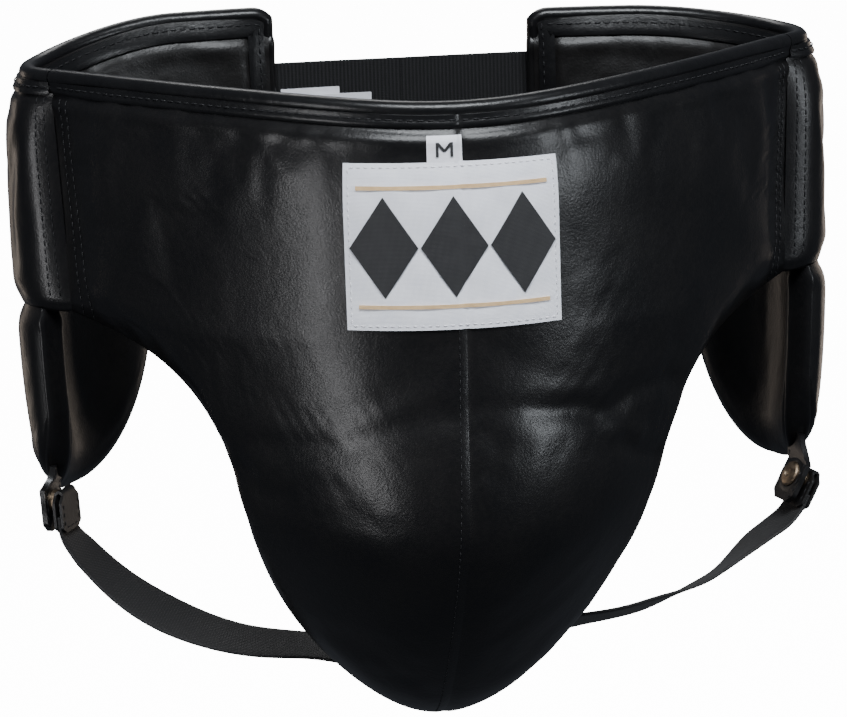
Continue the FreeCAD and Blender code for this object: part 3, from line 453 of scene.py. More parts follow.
def blur(h, cells):
    """Gaussian blur with mirrored edges."""
    reach = int(3 * cells)
    kernel = np.exp(-0.5 * (np.arange(-reach, reach + 1) / cells) ** 2)
    kernel /= kernel.sum()
    for axis in (0, 1):
        pad = [(reach, reach) if k == axis else (0, 0) for k in (0, 1)]
        h = np.apply_along_axis(np.convolve, axis, np.pad(h, pad, mode="reflect"), kernel, "valid")
    return h


def closed_grid(outer, inner):
    """Vertices and faces of a closed slab between two point grids of one shape."""
    n, m = outer.shape[:2]
    index = np.arange(n * m).reshape(n, m)
    quads = np.stack([index[:-1, :-1], index[1:, :-1], index[1:, 1:], index[:-1, 1:]], -1)
    quads = quads.reshape(-1, 4)
    back = quads[:, ::-1] + n * m
    ring = np.concatenate([index[:, 0], index[-1, 1:], index[-2::-1, -1], index[0, -2:0:-1]])
    after = np.roll(ring, -1)
    walls = np.stack([after, ring, ring + n * m, after + n * m], -1)
    points = np.concatenate([outer.reshape(-1, 3), inner.reshape(-1, 3)])
    faces = np.concatenate([quads, back, walls])
    p = points[faces]
    volume = (p[:, 0] * np.cross(p[:, 1], p[:, 2]) + p[:, 0] * np.cross(p[:, 2], p[:, 3])).sum()
    return points, faces[:, ::-1] if volume < 0 else faces


WAVE_GAIN = 0.24  # share of the simulated wrinkles that is kept


def simulate(pads):
    """Slightly oversized leather, sewn down at its edges and blown up from inside, wrinkles
    near the seams. The fine part of that shape is kept as a height on each skin."""
    points, faces, pins, places = [], [], [], []
    total = 0
    for pad, (n, m) in pads:
        a, b = np.meshgrid(np.linspace(*pad.span, n), np.linspace(0, 1, m), indexing="ij")
        b = b * pad.bottom(a)
        outer, inner = pad.skin("outer", a, b), pad.skin("inner", a, b)
        p, f = closed_grid(outer, inner)
        hold = np.full((n, m), 0.04)
        hold[:2], hold[-2:], hold[:, :3], hold[:, -1] = 1.0, 1.0, 1.0, 1.0
        outer_hold = hold.copy()
        if pad is front:
            x, z = front.flat(a, b)
            outer_hold[n // 2] = 1.0
            crease = line_distance(x, z, CREASE_CUP)[0]
            outer_hold = np.maximum(outer_hold, 0.9 * (crease < 4.0))
        points.append(p)
        faces.append(f + total)
        pins += [outer_hold.ravel(), hold.ravel()]
        places.append((pad, outer, inner, total, n, m))
        total += len(p)
    points, pins = np.concatenate(points), np.concatenate(pins)
    mesh = bpy.data.meshes.new("swell")
    mesh.from_pydata((points * MM).tolist(), [], np.concatenate(faces).tolist())
    swell = bpy.data.objects.new("swell", mesh)
    bpy.context.scene.collection.objects.link(swell)
    group = swell.vertex_groups.new(name="pin")
    for value in np.unique(pins):
        group.add(np.nonzero(pins == value)[0].tolist(), float(value), "REPLACE")
    cloth = swell.modifiers.new("cloth", "CLOTH")
    c = cloth.settings
    c.quality, c.mass = 5, 0.2
    c.tension_stiffness, c.compression_stiffness, c.shear_stiffness = 30.0, 30.0, 15.0
    c.bending_stiffness = 0.4
    c.tension_damping = c.compression_damping = c.shear_damping = 12.0
    c.air_damping = 4.0
    c.use_pressure, c.uniform_pressure_force = True, 3.0
    c.shrink_min = c.shrink_max = -0.05
    c.vertex_group_mass, c.pin_stiffness = "pin", 1.0
    c.effector_weights.gravity = 0.0
    cloth.collision_settings.use_collision = False
    cloth.collision_settings.use_self_collision = False
    cloth.point_cache.frame_start, cloth.point_cache.frame_end = 1, 22
    scene = bpy.context.scene
    for number in range(1, 23):
        scene.frame_set(number)
    shaped = swell.evaluated_get(bpy.context.evaluated_depsgraph_get()).to_mesh()
    moved = np.zeros(len(shaped.vertices) * 3, np.float32)
    shaped.vertices.foreach_get("co", moved)
    moved = moved.reshape(-1, 3) / MM
    bpy.data.objects.remove(swell)
    scene.frame_set(1)
    for pad, outer, inner, start, n, m in places:
        for face, rest, first in (("outer", outer, start), ("inner", inner, start + n * m)):
            shift = moved[first:first + n * m].reshape(n, m, 3) - rest
            normal = unit(np.cross(np.gradient(rest, axis=0), np.gradient(rest, axis=1)))
            away = outer - inner if face == "outer" else inner - outer
            normal *= np.sign((normal * away).sum(-1, keepdims=True))
            h = (shift * normal).sum(-1)
            h = h - blur(h, 3.2)
            pad.waves[face] = 1.6 * np.tanh(h * WAVE_GAIN / 1.6)


simulate([(front, (63, 53)), (belts["left"], (37, 23)), (belts["right"], (37, 23)),
          (hips["left"], (23, 21)), (hips["right"], (21, 21))])


# ---------------------------------------------------------------- mesh builders

def mesh_object(name, points, faces, material, uv=None, sharp=50.0):
    mesh = bpy.data.meshes.new(name)
    mesh.from_pydata((np.asarray(points) * MM).tolist(), [], [tuple(f) for f in faces])
    mesh.polygons.foreach_set("use_smooth", [True] * len(mesh.polygons))
    if uv is not None:
        layer = mesh.uv_layers.new(name="Flat")
        loops = np.zeros(len(mesh.loops), np.int32)
        mesh.loops.foreach_get("vertex_index", loops)
        layer.data.foreach_set("uv", np.asarray(uv, np.float32)[loops].ravel())
    mesh.set_sharp_from_angle(angle=math.radians(sharp))
    mesh.materials.append(material)
    made = bpy.data.objects.new(name, mesh)
    bpy.context.scene.collection.objects.link(made)
    return made


def slab(name, outer, thick, material, away, uv=None):
    """A closed sheet: outer is its shown face, away points out of it near each place."""
    normal = unit(np.cross(np.gradient(outer, axis=0), np.gradient(outer, axis=1)))
    if (normal * away).sum() < 0:
        outer = outer[:, ::-1]
        away = np.broadcast_to(away, outer.shape)[:, ::-1]
        uv = uv[:, ::-1] if uv is not None else None
        normal = unit(np.cross(np.gradient(outer, axis=0), np.gradient(outer, axis=1)))
    points, faces = closed_grid(outer, outer - normal * thick)
    flat = None if uv is None else np.concatenate([uv.reshape(-1, 2)] * 2)
    return mesh_object(name, points, faces, material, flat)


def block(name, outer, inner, material):
    """A closed solid between two grids."""
    normal = unit(np.cross(np.gradient(outer, axis=0), np.gradient(outer, axis=1)))
    if (normal * (outer - inner)).sum() < 0:
        outer, inner = outer[:, ::-1], inner[:, ::-1]
    points, faces = closed_grid(outer, inner)
    return mesh_object(name, points, faces, material)


def band_rows(outer, inner, edge, bulge, count, square=0.85):
    """Rows that carry a skin round an edge from its outer to its inner face."""
    middle, half = (outer + inner) / 2, (outer - inner) / 2
    rows = []
    for angle in np.linspace(0, math.pi, count + 1)[1:]:
        c, s = math.cos(angle), math.sin(angle)
        shape = math.copysign(abs(c) ** square, c)
        rows.append(middle + half * shape + edge * np.asarray(bulge)[..., None] * s ** square)
    return rows


def resample(line, spacing, *others):
    lengths = np.linalg.norm(np.diff(line, axis=0), axis=1)
    s = np.concatenate([[0.0], np.cumsum(lengths)])
    count = max(int(s[-1] / spacing), 2)
    t = (np.arange(count) + 0.5) * s[-1] / count
    return [np.stack([np.interp(t, s, c) for c in a.T], -1) for a in (line, *others)]


def stitches(name, lines, material, long=2.7, spacing=3.7, radius=0.27):
    """Rows of short thread loops. lines holds pairs of points on a skin and its normals."""
    ends = np.array([-0.5, -0.46, -0.3, 0.0, 0.3, 0.46, 0.5]) * long
    sizes = np.array([0.0, 0.62, 1.0, 1.0, 1.0, 0.62, 0.0]) * radius
    drops = np.array([-0.5, -0.28, 0.1, 0.18, 0.1, -0.28, -0.5]) * radius * 2
    turns = np.arange(6) * math.pi / 3
    points, faces, total = [], [], 0
    for line, normals in lines:
        centre, up, ahead = resample(line, spacing, normals, unit(np.gradient(line, axis=0)))
        up, ahead = unit(up), unit(ahead)
        across = unit(np.cross(ahead, up))
        for p, u, t, w in zip(centre, up, ahead, across):
            rings = [p + t * e + u * d for e, d in zip(ends, drops)]
            points.append(rings[0])
            for ring, size in zip(rings[1:-1], sizes[1:-1]):
                points += [ring + size * (math.cos(k) * w + math.sin(k) * u) for k in turns]
            points.append(rings[-1])
            for k in range(6):
                n = (k + 1) % 6
                faces.append((total, total + 1 + k, total + 1 + n))
                for r in range(4):
                    q = total + 1 + r * 6
                    faces.append((q + k, q + 6 + k, q + 6 + n, q + n))
                faces.append((total + 31, total + 25 + n, total + 25 + k))
            total += 32
    return mesh_object(name, points, faces, material, sharp=80)


def tube(name, centres, across, normals, width, thick, material, taper):
    """A flat strap with rounded edges along a line."""
    corner = thick * 0.42
    half, h = width / 2 - corner, thick / 2 - corner
    profile = []
    for cx, cy, start in ((half, h, 0), (-half, h, 90), (-half, -h, 180), (half, -h, 270)):
        for angle in (0, 30, 60, 90):
            t = math.radians(start + angle)
            profile.append((cx + corner * math.cos(t), cy + corner * math.sin(t)))
        if start in (0, 180):
            sign = 1 if start == 0 else -1
            for share in np.linspace(1, -1, 9)[1:-1]:
                profile.append((half * share * sign, (h + corner) * sign))
    profile = np.array(profile)
    rings = (centres[:, None] + (across * taper[:, None])[:, None] * profile[None, :, :1]
             + normals[:, None] * profile[None, :, 1:])
    n, m = rings.shape[:2]
    index = np.arange(n * m).reshape(n, m)
    after = np.roll(index, -1, axis=1)
    faces = np.stack([index[:-1], after[:-1], after[1:], index[1:]], -1).reshape(-1, 4).tolist()
    faces += [index[0, ::-1].tolist(), index[-1].tolist()]
    steps = np.concatenate([[0.0], np.cumsum(np.linalg.norm(np.diff(centres, axis=0), axis=1))])
    flat = np.stack(np.broadcast_arrays(profile[None, :, 0], steps[:, None]), -1).reshape(-1, 2)
    return mesh_object(name, rings.reshape(-1, 3), faces, material, flat)


# ---------------------------------------------------------------- materials

class Finish:
    """A node material with shorthands for the usual steps."""

    def __init__(self, name, colour, roughness, metallic=0.0, **sockets):
        self.material = bpy.data.materials.new(name)
        self.material.use_nodes = True
        self.tree = self.material.node_tree
        self.shader = self.tree.nodes["Principled BSDF"]
        self.shader.inputs["Base Color"].default_value = (*colour, 1.0)
        self.shader.inputs["Roughness"].default_value = roughness
        self.shader.inputs["Metallic"].default_value = metallic
        for socket, value in sockets.items():
            self.shader.inputs[socket.replace("_", " ")].default_value = value
        self.place = self.add("ShaderNodeTexCoord")
        self.height = None

    def add(self, kind, **values):
        node = self.tree.nodes.new(kind)
        for key, value in values.items():
            if hasattr(node, key):
                setattr(node, key, value)
            else:
                node.inputs[key.replace("_", " ")].default_value = value
        return node

    def link(self, source, target):
        self.tree.links.new(source, target)

    def noise(self, scale, detail=2.0, roughness=0.5, distortion=0.0, source="Object"):
        node = self.add("ShaderNodeTexNoise", Scale=scale, Detail=detail, Roughness=roughness,
                        Distortion=distortion)
        self.link(self.place.outputs[source], node.inputs["Vector"])
        return node.outputs["Fac"]

    def cells(self, scale, feature="F1", source="Object", randomness=1.0):
        node = self.add("ShaderNodeTexVoronoi", Scale=scale, Randomness=randomness)
        node.feature = feature
        self.link(self.place.outputs[source], node.inputs["Vector"])
        return node.outputs["Distance"]

    def wave(self, scale, axis="X", source="UV", profile="SIN", distortion=0.0):
        node = self.add("ShaderNodeTexWave", Scale=scale, Distortion=distortion)
        node.bands_direction, node.wave_profile = axis, profile
        self.link(self.place.outputs[source], node.inputs["Vector"])
        return node.outputs["Fac"]

    def range(self, value, low, high, from_low=0.0, from_high=1.0):
        node = self.add("ShaderNodeMapRange")
        node.inputs["From Min"].default_value = from_low
        node.inputs["From Max"].default_value = from_high
        node.inputs["To Min"].default_value = low
        node.inputs["To Max"].default_value = high
        self.link(value, node.inputs["Value"])
        return node.outputs["Result"]

    def maths(self, operation, first, second):
        node = self.add("ShaderNodeMath")
        node.operation = operation
        for socket, value in zip(node.inputs, (first, second)):
            if isinstance(value, (int, float)):
                socket.default_value = value
            else:
                self.link(value, socket)
        return node.outputs[0]

    def mix(self, factor, first, second):
        node = self.add("ShaderNodeMix")
        node.data_type = "RGBA"
        self.link(factor, node.inputs["Factor"])
        for socket, value in ((node.inputs[6], first), (node.inputs[7], second)):
            if isinstance(value, tuple):
                socket.default_value = (*value, 1.0)
            else:
                self.link(value, socket)
        return node.outputs[2]

    def bump(self, height, distance, strength=1.0):
        """Adds one more layer of relief. distance is in metres."""
        node = self.add("ShaderNodeBump", Strength=strength, Distance=distance)
        self.link(height, node.inputs["Height"])
        if self.height is not None:
            self.link(self.height, node.inputs["Normal"])
        self.height = node.outputs["Normal"]
        self.link(self.height, self.shader.inputs["Normal"])

    def colour(self, value):
        self.link(value, self.shader.inputs["Base Color"])

    def roughness(self, value):
        self.link(value, self.shader.inputs["Roughness"])


def leather(name, dark, light, gloss, grain=1.0, breaks=1.0):
    """Smooth finished cowhide: fine pebble, pores, soft break wrinkles, uneven polish."""
    f = Finish(name, dark, gloss, Specular_IOR_Level=0.36)
    broad, fine = f.noise(38.0, 3.0), f.noise(520.0, 3.0, 0.6)
    f.colour(f.mix(f.range(f.maths("ADD", broad, fine), 0.0, 1.0, 0.7, 1.35), dark, light))
    uneven = f.maths("ADD", f.range(broad, -0.05, 0.06), f.range(fine, -0.04, 0.05))
    f.roughness(f.maths("ADD", uneven, gloss))
    f.bump(f.noise(95.0, 4.0, 0.55, 0.6), 0.0011, 0.17 * breaks)
    f.bump(f.cells(1150.0, "SMOOTH_F1"), 0.00016, 0.32 * grain)
    f.bump(f.noise(2600.0, 2.0), 0.00005, 0.35 * grain)
    return f.material


def make_materials():
    made = {
        "leather": leather("black leather", (0.004, 0.004, 0.0045), (0.007, 0.0065, 0.0065), 0.32),
        "lining": leather("lining leather", (0.0045, 0.0043, 0.0043), (0.008, 0.0072, 0.007),
                          0.38, 1.2, 1.4),
        "binding": leather("binding leather", (0.004, 0.004, 0.0045), (0.007, 0.007, 0.0075),
                           0.3, 1.0, 1.6),
        "strap": leather("strap leather", (0.005, 0.005, 0.0052), (0.009, 0.0082, 0.008), 0.42,
                         1.3, 1.0),
    }

    f = Finish("black thread", (0.01, 0.01, 0.011), 0.55, Specular_IOR_Level=0.3)
    f.colour(f.mix(f.noise(900.0), (0.005, 0.005, 0.006), (0.014, 0.014, 0.0155)))
    f.bump(f.wave(700.0, "DIAGONAL", "Object"), 0.0001, 0.5)
    made["thread"] = f.material

    f = Finish("pale thread", (0.72, 0.71, 0.74), 0.6, Sheen_Weight=0.2)
    f.colour(f.mix(f.noise(900.0), (0.62, 0.61, 0.65), (0.8, 0.79, 0.82)))
    f.bump(f.wave(700.0, "DIAGONAL", "Object"), 0.0001, 0.5)
    made["pale thread"] = f.material

    f = Finish("waist elastic", (0.006, 0.006, 0.007), 0.8, Sheen_Weight=0.06,
               Specular_IOR_Level=0.3)
    ribs, picks = f.wave(0.19, "X"), f.wave(0.42, "Y")
    f.colour(f.mix(ribs, (0.003, 0.003, 0.0035), (0.012, 0.012, 0.0135)))
    f.bump(ribs, 0.0005, 0.8)
    f.bump(picks, 0.00015, 0.5)
    f.roughness(f.range(f.noise(700.0), 0.7, 0.9))
    made["elastic"] = f.material

    f = Finish("leg webbing", (0.008, 0.0078, 0.008), 0.6, Sheen_Weight=0.08,
               Specular_IOR_Level=0.4)
    ribs, picks = f.wave(0.3, "DIAGONAL", "UV"), f.wave(0.28, "Y")
    weave = f.maths("MULTIPLY", ribs, picks)
    f.colour(f.mix(weave, (0.006, 0.0057, 0.006), (0.015, 0.0135, 0.0138)))
    f.bump(weave, 0.0002, 0.6)
    f.roughness(f.range(f.noise(500.0), 0.55, 0.72))
    made["webbing"] = f.material

    def woven(name, pale, shade, roughness):
        g = Finish(name, pale, roughness, Sheen_Weight=0.15)
        warp, weft = g.wave(0.78, "X"), g.wave(0.62, "Y")
        weave = g.maths("MULTIPLY", warp, weft)
        g.colour(g.mix(g.range(g.maths("ADD", weave, g.noise(220.0)), 0.0, 1.0, 0.35, 1.3),
                       shade, pale))
        g.bump(weave, 0.00012, 0.6)
        g.bump(g.noise(60.0, 2.0), 0.0004, 0.25)
        return g.material

    made["woven"] = woven("white woven label", (0.93, 0.94, 0.98), (0.8, 0.81, 0.88), 0.62)
    made["emblem"] = woven("black label thread", (0.02, 0.02, 0.022), (0.008, 0.008, 0.009), 0.6)
    made["gold"] = woven("gold label thread", (0.82, 0.58, 0.31), (0.55, 0.36, 0.18), 0.5)
    made["tag"] = woven("care tag satin", (0.84, 0.84, 0.88), (0.74, 0.74, 0.8), 0.42)

    f = Finish("padding foam", (0.05, 0.05, 0.055), 0.9)
    f.colour(f.mix(f.noise(300.0), (0.03, 0.03, 0.034), (0.075, 0.075, 0.08)))
    f.bump(f.cells(700.0), 0.0004, 0.7)
    made["foam"] = f.material

    f = Finish("cup steel", (0.55, 0.55, 0.56), 0.35, 1.0)
    f.colour(f.mix(f.noise(70.0, 4.0), (0.42, 0.42, 0.43), (0.62, 0.62, 0.63)))
    f.roughness(f.range(f.noise(240.0, 4.0), 0.26, 0.44))
    f.bump(f.noise(500.0, 3.0, 0.6, 2.0), 0.0001, 0.2)
    made["steel"] = f.material

    f = Finish("cup edge rubber", (0.025, 0.025, 0.027), 0.7)
    f.colour(f.mix(f.noise(120.0), (0.018, 0.018, 0.019), (0.035, 0.035, 0.036)))
    f.bump(f.noise(900.0), 0.0001, 0.5)
    made["rubber"] = f.material

    f = Finish("antique brass", (0.36, 0.27, 0.18), 0.4, 1.0)
    worn = f.range(f.noise(330.0, 5.0, 0.65), 0.0, 1.0, 0.35, 0.7)
    f.colour(f.mix(worn, (0.17, 0.125, 0.085), (0.5, 0.385, 0.27)))
    f.roughness(f.range(f.noise(600.0, 3.0), 0.32, 0.55))
    f.bump(f.noise(800.0, 4.0), 0.0001, 0.4)
    made["brass"] = f.material
    return made


look = make_materials()
for node, finish in (("cup_shell", "steel"), ("cup_shell_edge", "rubber"),
                     ("snap_cap_left", "brass"), ("snap_cap_right", "brass"),
                     ("snap_socket_left", "brass"), ("snap_socket_right", "brass"),
                     ("snap_stud_left", "brass"), ("snap_stud_right", "brass"),
                     ("snap_eyelet_left", "brass"), ("snap_eyelet_right", "brass")):
    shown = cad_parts[node]
    shown.data.materials.clear()
    shown.data.materials.append(look[finish])


def corner_blend(piece):
    """Bakes the piece's transform into its mesh."""
    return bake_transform(piece)


def stand(piece, slot, *nodes):
    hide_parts(*nodes)
    return piece


# ---------------------------------------------------------------- front panel

def grid(low, high, n, m, bottom=1.0):
    return np.meshgrid(np.linspace(low, high, n), np.linspace(0.0, bottom, m), indexing="ij")


def front_edge_direction(a, b):
    tangent = unit(np.gradient(front.base(a, b), axis=0))
    edge = unit(np.cross(tangent, front.outward(a, b)))
    down = front.base(a, b) - front.base(a, b - 0.05)
    return edge * np.sign((edge * down).sum(-1, keepdims=True))


whole_a = np.linspace(-1.0, 1.0, 401)
whole_edge = front_edge_direction(whole_a, front.bottom(whole_a))


def front_cover(name):
    side = -1 if name == "left" else 1
    a, b = grid(0.0, side, 96, 150)
    b = b * front.bottom(a)
    outer = front.skin("outer", a, b)
    inner = front.skin("inner", a[:, -1], b[:, -1])
    edge = np.stack([np.interp(a[:, -1], whole_a, c) for c in whole_edge.T], -1)
    rows = band_rows(outer[:, -1], inner, edge, 2.2 + 0 * a[:, -1], 9)
    rows.append(rows[-1] - edge * 3.0 + front.outward(a[:, -1], b[:, -1]) * 0.6)
    full = np.concatenate([outer, np.stack(rows, 1)], 1)
    away = np.concatenate([np.broadcast_to([0.0, -1.0, 0.0], outer.shape),
                           np.zeros((len(a), len(rows), 3))], 1)
    piece = slab("front_leather_" + name, full, LEATHER, look["leather"], away)
    stand(piece, "cover_leather", "front_cover_" + name)
    return corner_blend(piece)


def front_core(name):
    """Belly and cup padding under one half of the cover."""
    side = -1 if name == "left" else 1
    a, b = grid(0.0, 0.985 * side, 31, 61)
    b = 0.02 + b * (front.bottom(a) - 0.035)
    outer = front.skin("outer", a, b, -2.3)
    inner = front.skin("inner", a, b, -1.7)
    shell = step(0.62 - np.abs(a), 0.0, 0.06) * step(b * front.column(a), 138.0, 146.0)
    inner = inner - unit(inner - outer) * 3.4 * shell[..., None]
    piece = block("front_pad_" + name, outer, inner, look["foam"])
    stand(piece, "foam", "belly_foam", "cup_foam")
    return corner_blend(piece)


def front_lining(name):
    side = -1 if name == "left" else 1
    a, b = grid(0.0, side, 72, 120)
    b = b * (front.bottom(a) - 1.2 / front.column(a))
    inner = front.skin("inner", a, b)
    piece = slab("front_lining_" + name, inner, LINING, look["lining"], np.array([0.0, 1.0, 0.0]))
    stand(piece, "lining", "belly_lining", "cup_lining")
    return corner_blend(piece)


def front_binding(name):
    """Leather folded over the top edge: a narrow roll, then a flat sewn band."""
    side = -1 if name == "left" else 1
    a = np.linspace(0.0, 1.0, 120) * side
    height = front.column(a)
    columns = []
    for drop in np.linspace(8.4, 3.2, 7):
        sink = 0.55 * bell(drop - 5.2, 1.0) + 0.5 * step(drop, 7.4, 8.4)
        columns.append(front.skin("outer", a, drop / height, 1.0 - sink, waves=False))
    low_out = front.place(a, 0 * a, 0 * a - 1.5)
    low_in = front.place(a, 0 * a, 0 * a + EDGE + 1.2)
    middle, half = (low_out + low_in) / 2 - UP * 1.6, (low_out - low_in) / 2
    for angle in np.linspace(-0.5, math.pi + 0.5, 15):
        roll = half * 0.98 * math.cos(angle) + UP * 3.4 * math.sin(angle)
        columns.append(middle + roll)
    for drop in np.linspace(3.2, 9.6, 6):
        columns.append(front.skin("inner", a, drop / height, 0.9, waves=False))
    full = np.stack(columns, 1)
    centre = middle[:, None]
    piece = slab("front_binding_" + name, full, BINDING, look["binding"], full - centre)
    stand(piece, "binding_leather", "front_binding")
    return corner_blend(piece)


def front_line(a, b, lift=0.15, face="outer"):
    """A line on the front skin with its normals."""
    points = front.skin(face, a, b, lift)
    normals = front.outward(a, b) * (1 if face == "outer" else -1)
    return points, normals


def front_stitches(name):
    side = -1 if name == "left" else 1
    a = np.linspace(0.004, 0.985, 160) * side
    lines = [front_line(a, 5.2 / front.column(a), 0.75)]
    piece = stitches("binding_stitches_" + name, lines, look["thread"], *BINDING_STITCH)
    corner_blend(piece)
    b = np.linspace(9.5 / 101, 0.98, 60)
    lines = []
    for distance in (3.4, 6.4):
        at = side * (1 - distance / HALF)
        lines.append(front_line(at + 0 * b, b, 0.1))
    piece = stitches("seam_stitches_" + name, lines, look["thread"], *SEAM_STITCH)
    corner_blend(piece)
    a = np.linspace(0.0, 0.985, 200) * side
    down = front.bottom(a) - 4.0 / front.column(a)
    piece = stitches("edge_stitches_" + name, [front_line(a, down, 0.1, "inner")],
                     look["thread"], 2.6, 3.6, 0.25)
    corner_blend(piece)


def centre_stitches():
    b = np.linspace(0.06, 0.985, 260)
    lines = [front_line(-CENTRE_STITCHES / HALF + 0 * b, b, 0.05)]
    piece = stitches("centre_stitches", lines, look["thread"], *FINE_STITCH)
    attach(piece, "root")


# ---------------------------------------------------------------- labels

def patch_points(x, z, lift):
    a, b = front.find(x, z)
    points = front.skin("outer", a, b, 0.0, waves=False)
    return points + front.outward(a, b) * lift


def patch_sheet(name, left, right, bottom, top, material, node):
    x, z = np.meshgrid(np.linspace(left, right, 50), np.linspace(top, bottom, 44), indexing="ij")
    ripple = 0.25 * np.sin(x * 0.31) * np.sin(z * 0.27 + 1.0)
    border = np.minimum(np.minimum(x - left, right - x), np.minimum(top - z, z - bottom))
    lift = 1.0 + ripple * step(border, 0.0, 8.0) + 0.3 * step(border, 0.0, 5.0)
    points = patch_points(x, z, 0.0) + front.outward(*front.find(x, z)) * lift[..., None]
    uv = np.stack([x, z], -1)
    piece = slab(name, points, 0.6, material, np.array([0.0, -1.0, 0.0]), uv)
    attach(piece, "root")
    stand(piece, "woven_patch", node)
    return piece


def emblem_shapes(name, shapes, material, lift):
    """Flat embroidered quadrilaterals on the patch, each by its four corners."""
    points, faces, flat, total = [], [], [], 0
    for corners, n, m in shapes:
        p, q, r, s = [np.array(c, float) for c in corners]
        i, j = np.meshgrid(np.linspace(0, 1, n), np.linspace(0, 1, m), indexing="ij")
        i, j = i[..., None], j[..., None]
        place = (p * (1 - i) + q * i) * (1 - j) + (s * (1 - i) + r * i) * j
        top = patch_points(place[..., 0], place[..., 1], lift)
        base = patch_points(place[..., 0], place[..., 1], lift - 0.45)
        normal = np.cross(np.gradient(top, axis=0), np.gradient(top, axis=1))
        if normal[..., 1].sum() > 0:
            top, base, place = top[:, ::-1], base[:, ::-1], place[:, ::-1]
        v, f = closed_grid(top, base)
        points.append(v)
        faces.append(f + total)
        flat.append(np.concatenate([place.reshape(-1, 2)] * 2))
        total += len(v)
    piece = mesh_object(name, np.concatenate(points), np.concatenate(faces), material,
                        np.concatenate(flat))
    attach(piece, "root")
    return piece


def bar(x0, z0, x1, z1, wide, n=14):
    a, b = np.array([x0, z0], float), np.array([x1, z1], float)
    side = np.array([-(b - a)[1], (b - a)[0]]) / np.linalg.norm(b - a) * wide / 2
    return (a + side, b + side, b - side, a - side), n, 3


def make_labels():
    patch_sheet("woven_label", *LABEL, look["woven"], "front_patch")
    patch_sheet("size_label", -12.4, 0.4, -24.9, -14.5, look["tag"], "size_tab")
    shapes = []
    for middle in (-28.2, -3.5, 21.2):
        shapes.append((((middle - 11.9, -57.5), (middle, -37.5), (middle + 11.9, -57.5),
                        (middle, -77.5)), 11, 11))
    emblem_shapes("label_emblem", shapes, look["emblem"], 1.75)
    lines = [bar(-37.5, -34.0, 30.5, -34.0, 1.5, 40), bar(-37.5, -81.0, 30.5, -81.0, 1.5, 40)]
    emblem_shapes("label_gold", lines, look["gold"], 1.75)
    strokes = [bar(-8.6, -22.6, -8.6, -17.0, 1.0, 4), bar(-3.4, -22.6, -3.4, -17.0, 1.0, 4),
               bar(-8.4, -17.3, -6.0, -20.4, 1.0, 4), bar(-6.0, -20.4, -3.6, -17.3, 1.0, 4)]
    emblem_shapes("size_letter", strokes, look["emblem"], 1.5)
    (left, right, low, top), inset = LABEL, 1.7
    corners = [(left + inset, top - inset), (right - inset, top - inset),
               (right - inset, low + inset), (left + inset, low + inset)]
    lines = []
    for (x0, z0), (x1, z1) in zip(corners, corners[1:] + corners[:1]):
        x, z = np.linspace(x0, x1, 40), np.linspace(z0, z1, 40)
        lines.append((patch_points(x, z, 1.1), front.outward(*front.find(x, z))))
    piece = stitches("label_stitches", lines, look["pale thread"], 1.9, 2.9, 0.22)
    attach(piece, "root")


# ---------------------------------------------------------------- wings

def ring_of(a_count, b_count):
    """The free border of a panel, as a and b: along the bottom, then up the back end."""
    a = np.concatenate([np.linspace(0, 1, a_count), np.ones(b_count - 1)])
    b = np.concatenate([np.ones(a_count), np.linspace(1, 0, b_count)[1:]])
    return a, b


def belt_cover(name):
    belt = belts[name]
    n, m, turn = 118, 66, 9
    a, b = grid(0.0, 1.0, n, m)
    outer = belt.skin("outer", a, b)
    border_a, border_b = ring_of(n, m)
    s, z = belt.split(border_a, border_b)
    bo, bi = belt.skin("outer", border_a, border_b), belt.skin("inner", border_a, border_b)
    ds, dz = np.gradient(s), np.gradient(z)
    size = np.maximum(np.hypot(ds, dz), 1e-6)
    edge = belt.along(s) * (dz / size)[:, None] - UP * (ds / size)[:, None]
    bulge = np.clip(0.30 * np.linalg.norm(bo - bi, axis=1), 1.6, 2.6)
    rows = band_rows(bo, bi, edge, bulge, turn)
    rows.append(rows[-1] - edge * 3.0 + unit(bo - bi) * 0.6)
    points = [outer.reshape(-1, 3)] + rows
    index = np.arange(n * m).reshape(n, m)
    ring = np.concatenate([index[:, -1], index[-1, -2::-1]])
    faces = [np.stack([index[:-1, :-1], index[1:, :-1], index[1:, 1:], index[:-1, 1:]], -1)
             .reshape(-1, 4)]
    before = ring
    for k in range(len(rows)):
        now = n * m + k * len(ring) + np.arange(len(ring))
        faces.append(np.stack([before[1:], before[:-1], now[:-1], now[1:]], -1)[:, ::-1])
        before = now
    faces = np.concatenate(faces)
    points = np.concatenate(points)
    piece = solid_sheet("side_leather_" + name, points, faces, LEATHER, look["leather"],
                        belt.outer_direction(np.array([belt.length * 0.4]))[0])
    stand(piece, "cover_leather", "side_cover_" + name)
    return corner_blend(piece)


def solid_sheet(name, points, faces, thick, material, away):
    """A closed sheet from an open quad mesh: its copy is set back along the normals."""
    corners = points[faces]
    flat = np.cross(corners[:, 2] - corners[:, 0], corners[:, 3] - corners[:, 1])
    first = flat[: len(faces) // 3].sum(0)
    if first @ away < 0:
        faces, flat = faces[:, ::-1], -flat
    normal = np.zeros_like(points)
    for k in range(4):
        np.add.at(normal, faces[:, k], flat)
    normal = unit(normal)
    total = len(points)
    edges = np.concatenate([faces[:, [0, 1]], faces[:, [1, 2]], faces[:, [2, 3]], faces[:, [3, 0]]])
    keys = np.sort(edges, axis=1)
    _, first_seen, counts = np.unique(keys, axis=0, return_index=True, return_counts=True)
    rim = edges[first_seen[counts == 1]]
    walls = np.stack([rim[:, 1], rim[:, 0], rim[:, 0] + total, rim[:, 1] + total], -1)
    everything = np.concatenate([faces, faces[:, ::-1] + total, walls])
    both = np.concatenate([points, points - normal * thick])
    return mesh_object(name, both, everything, material)


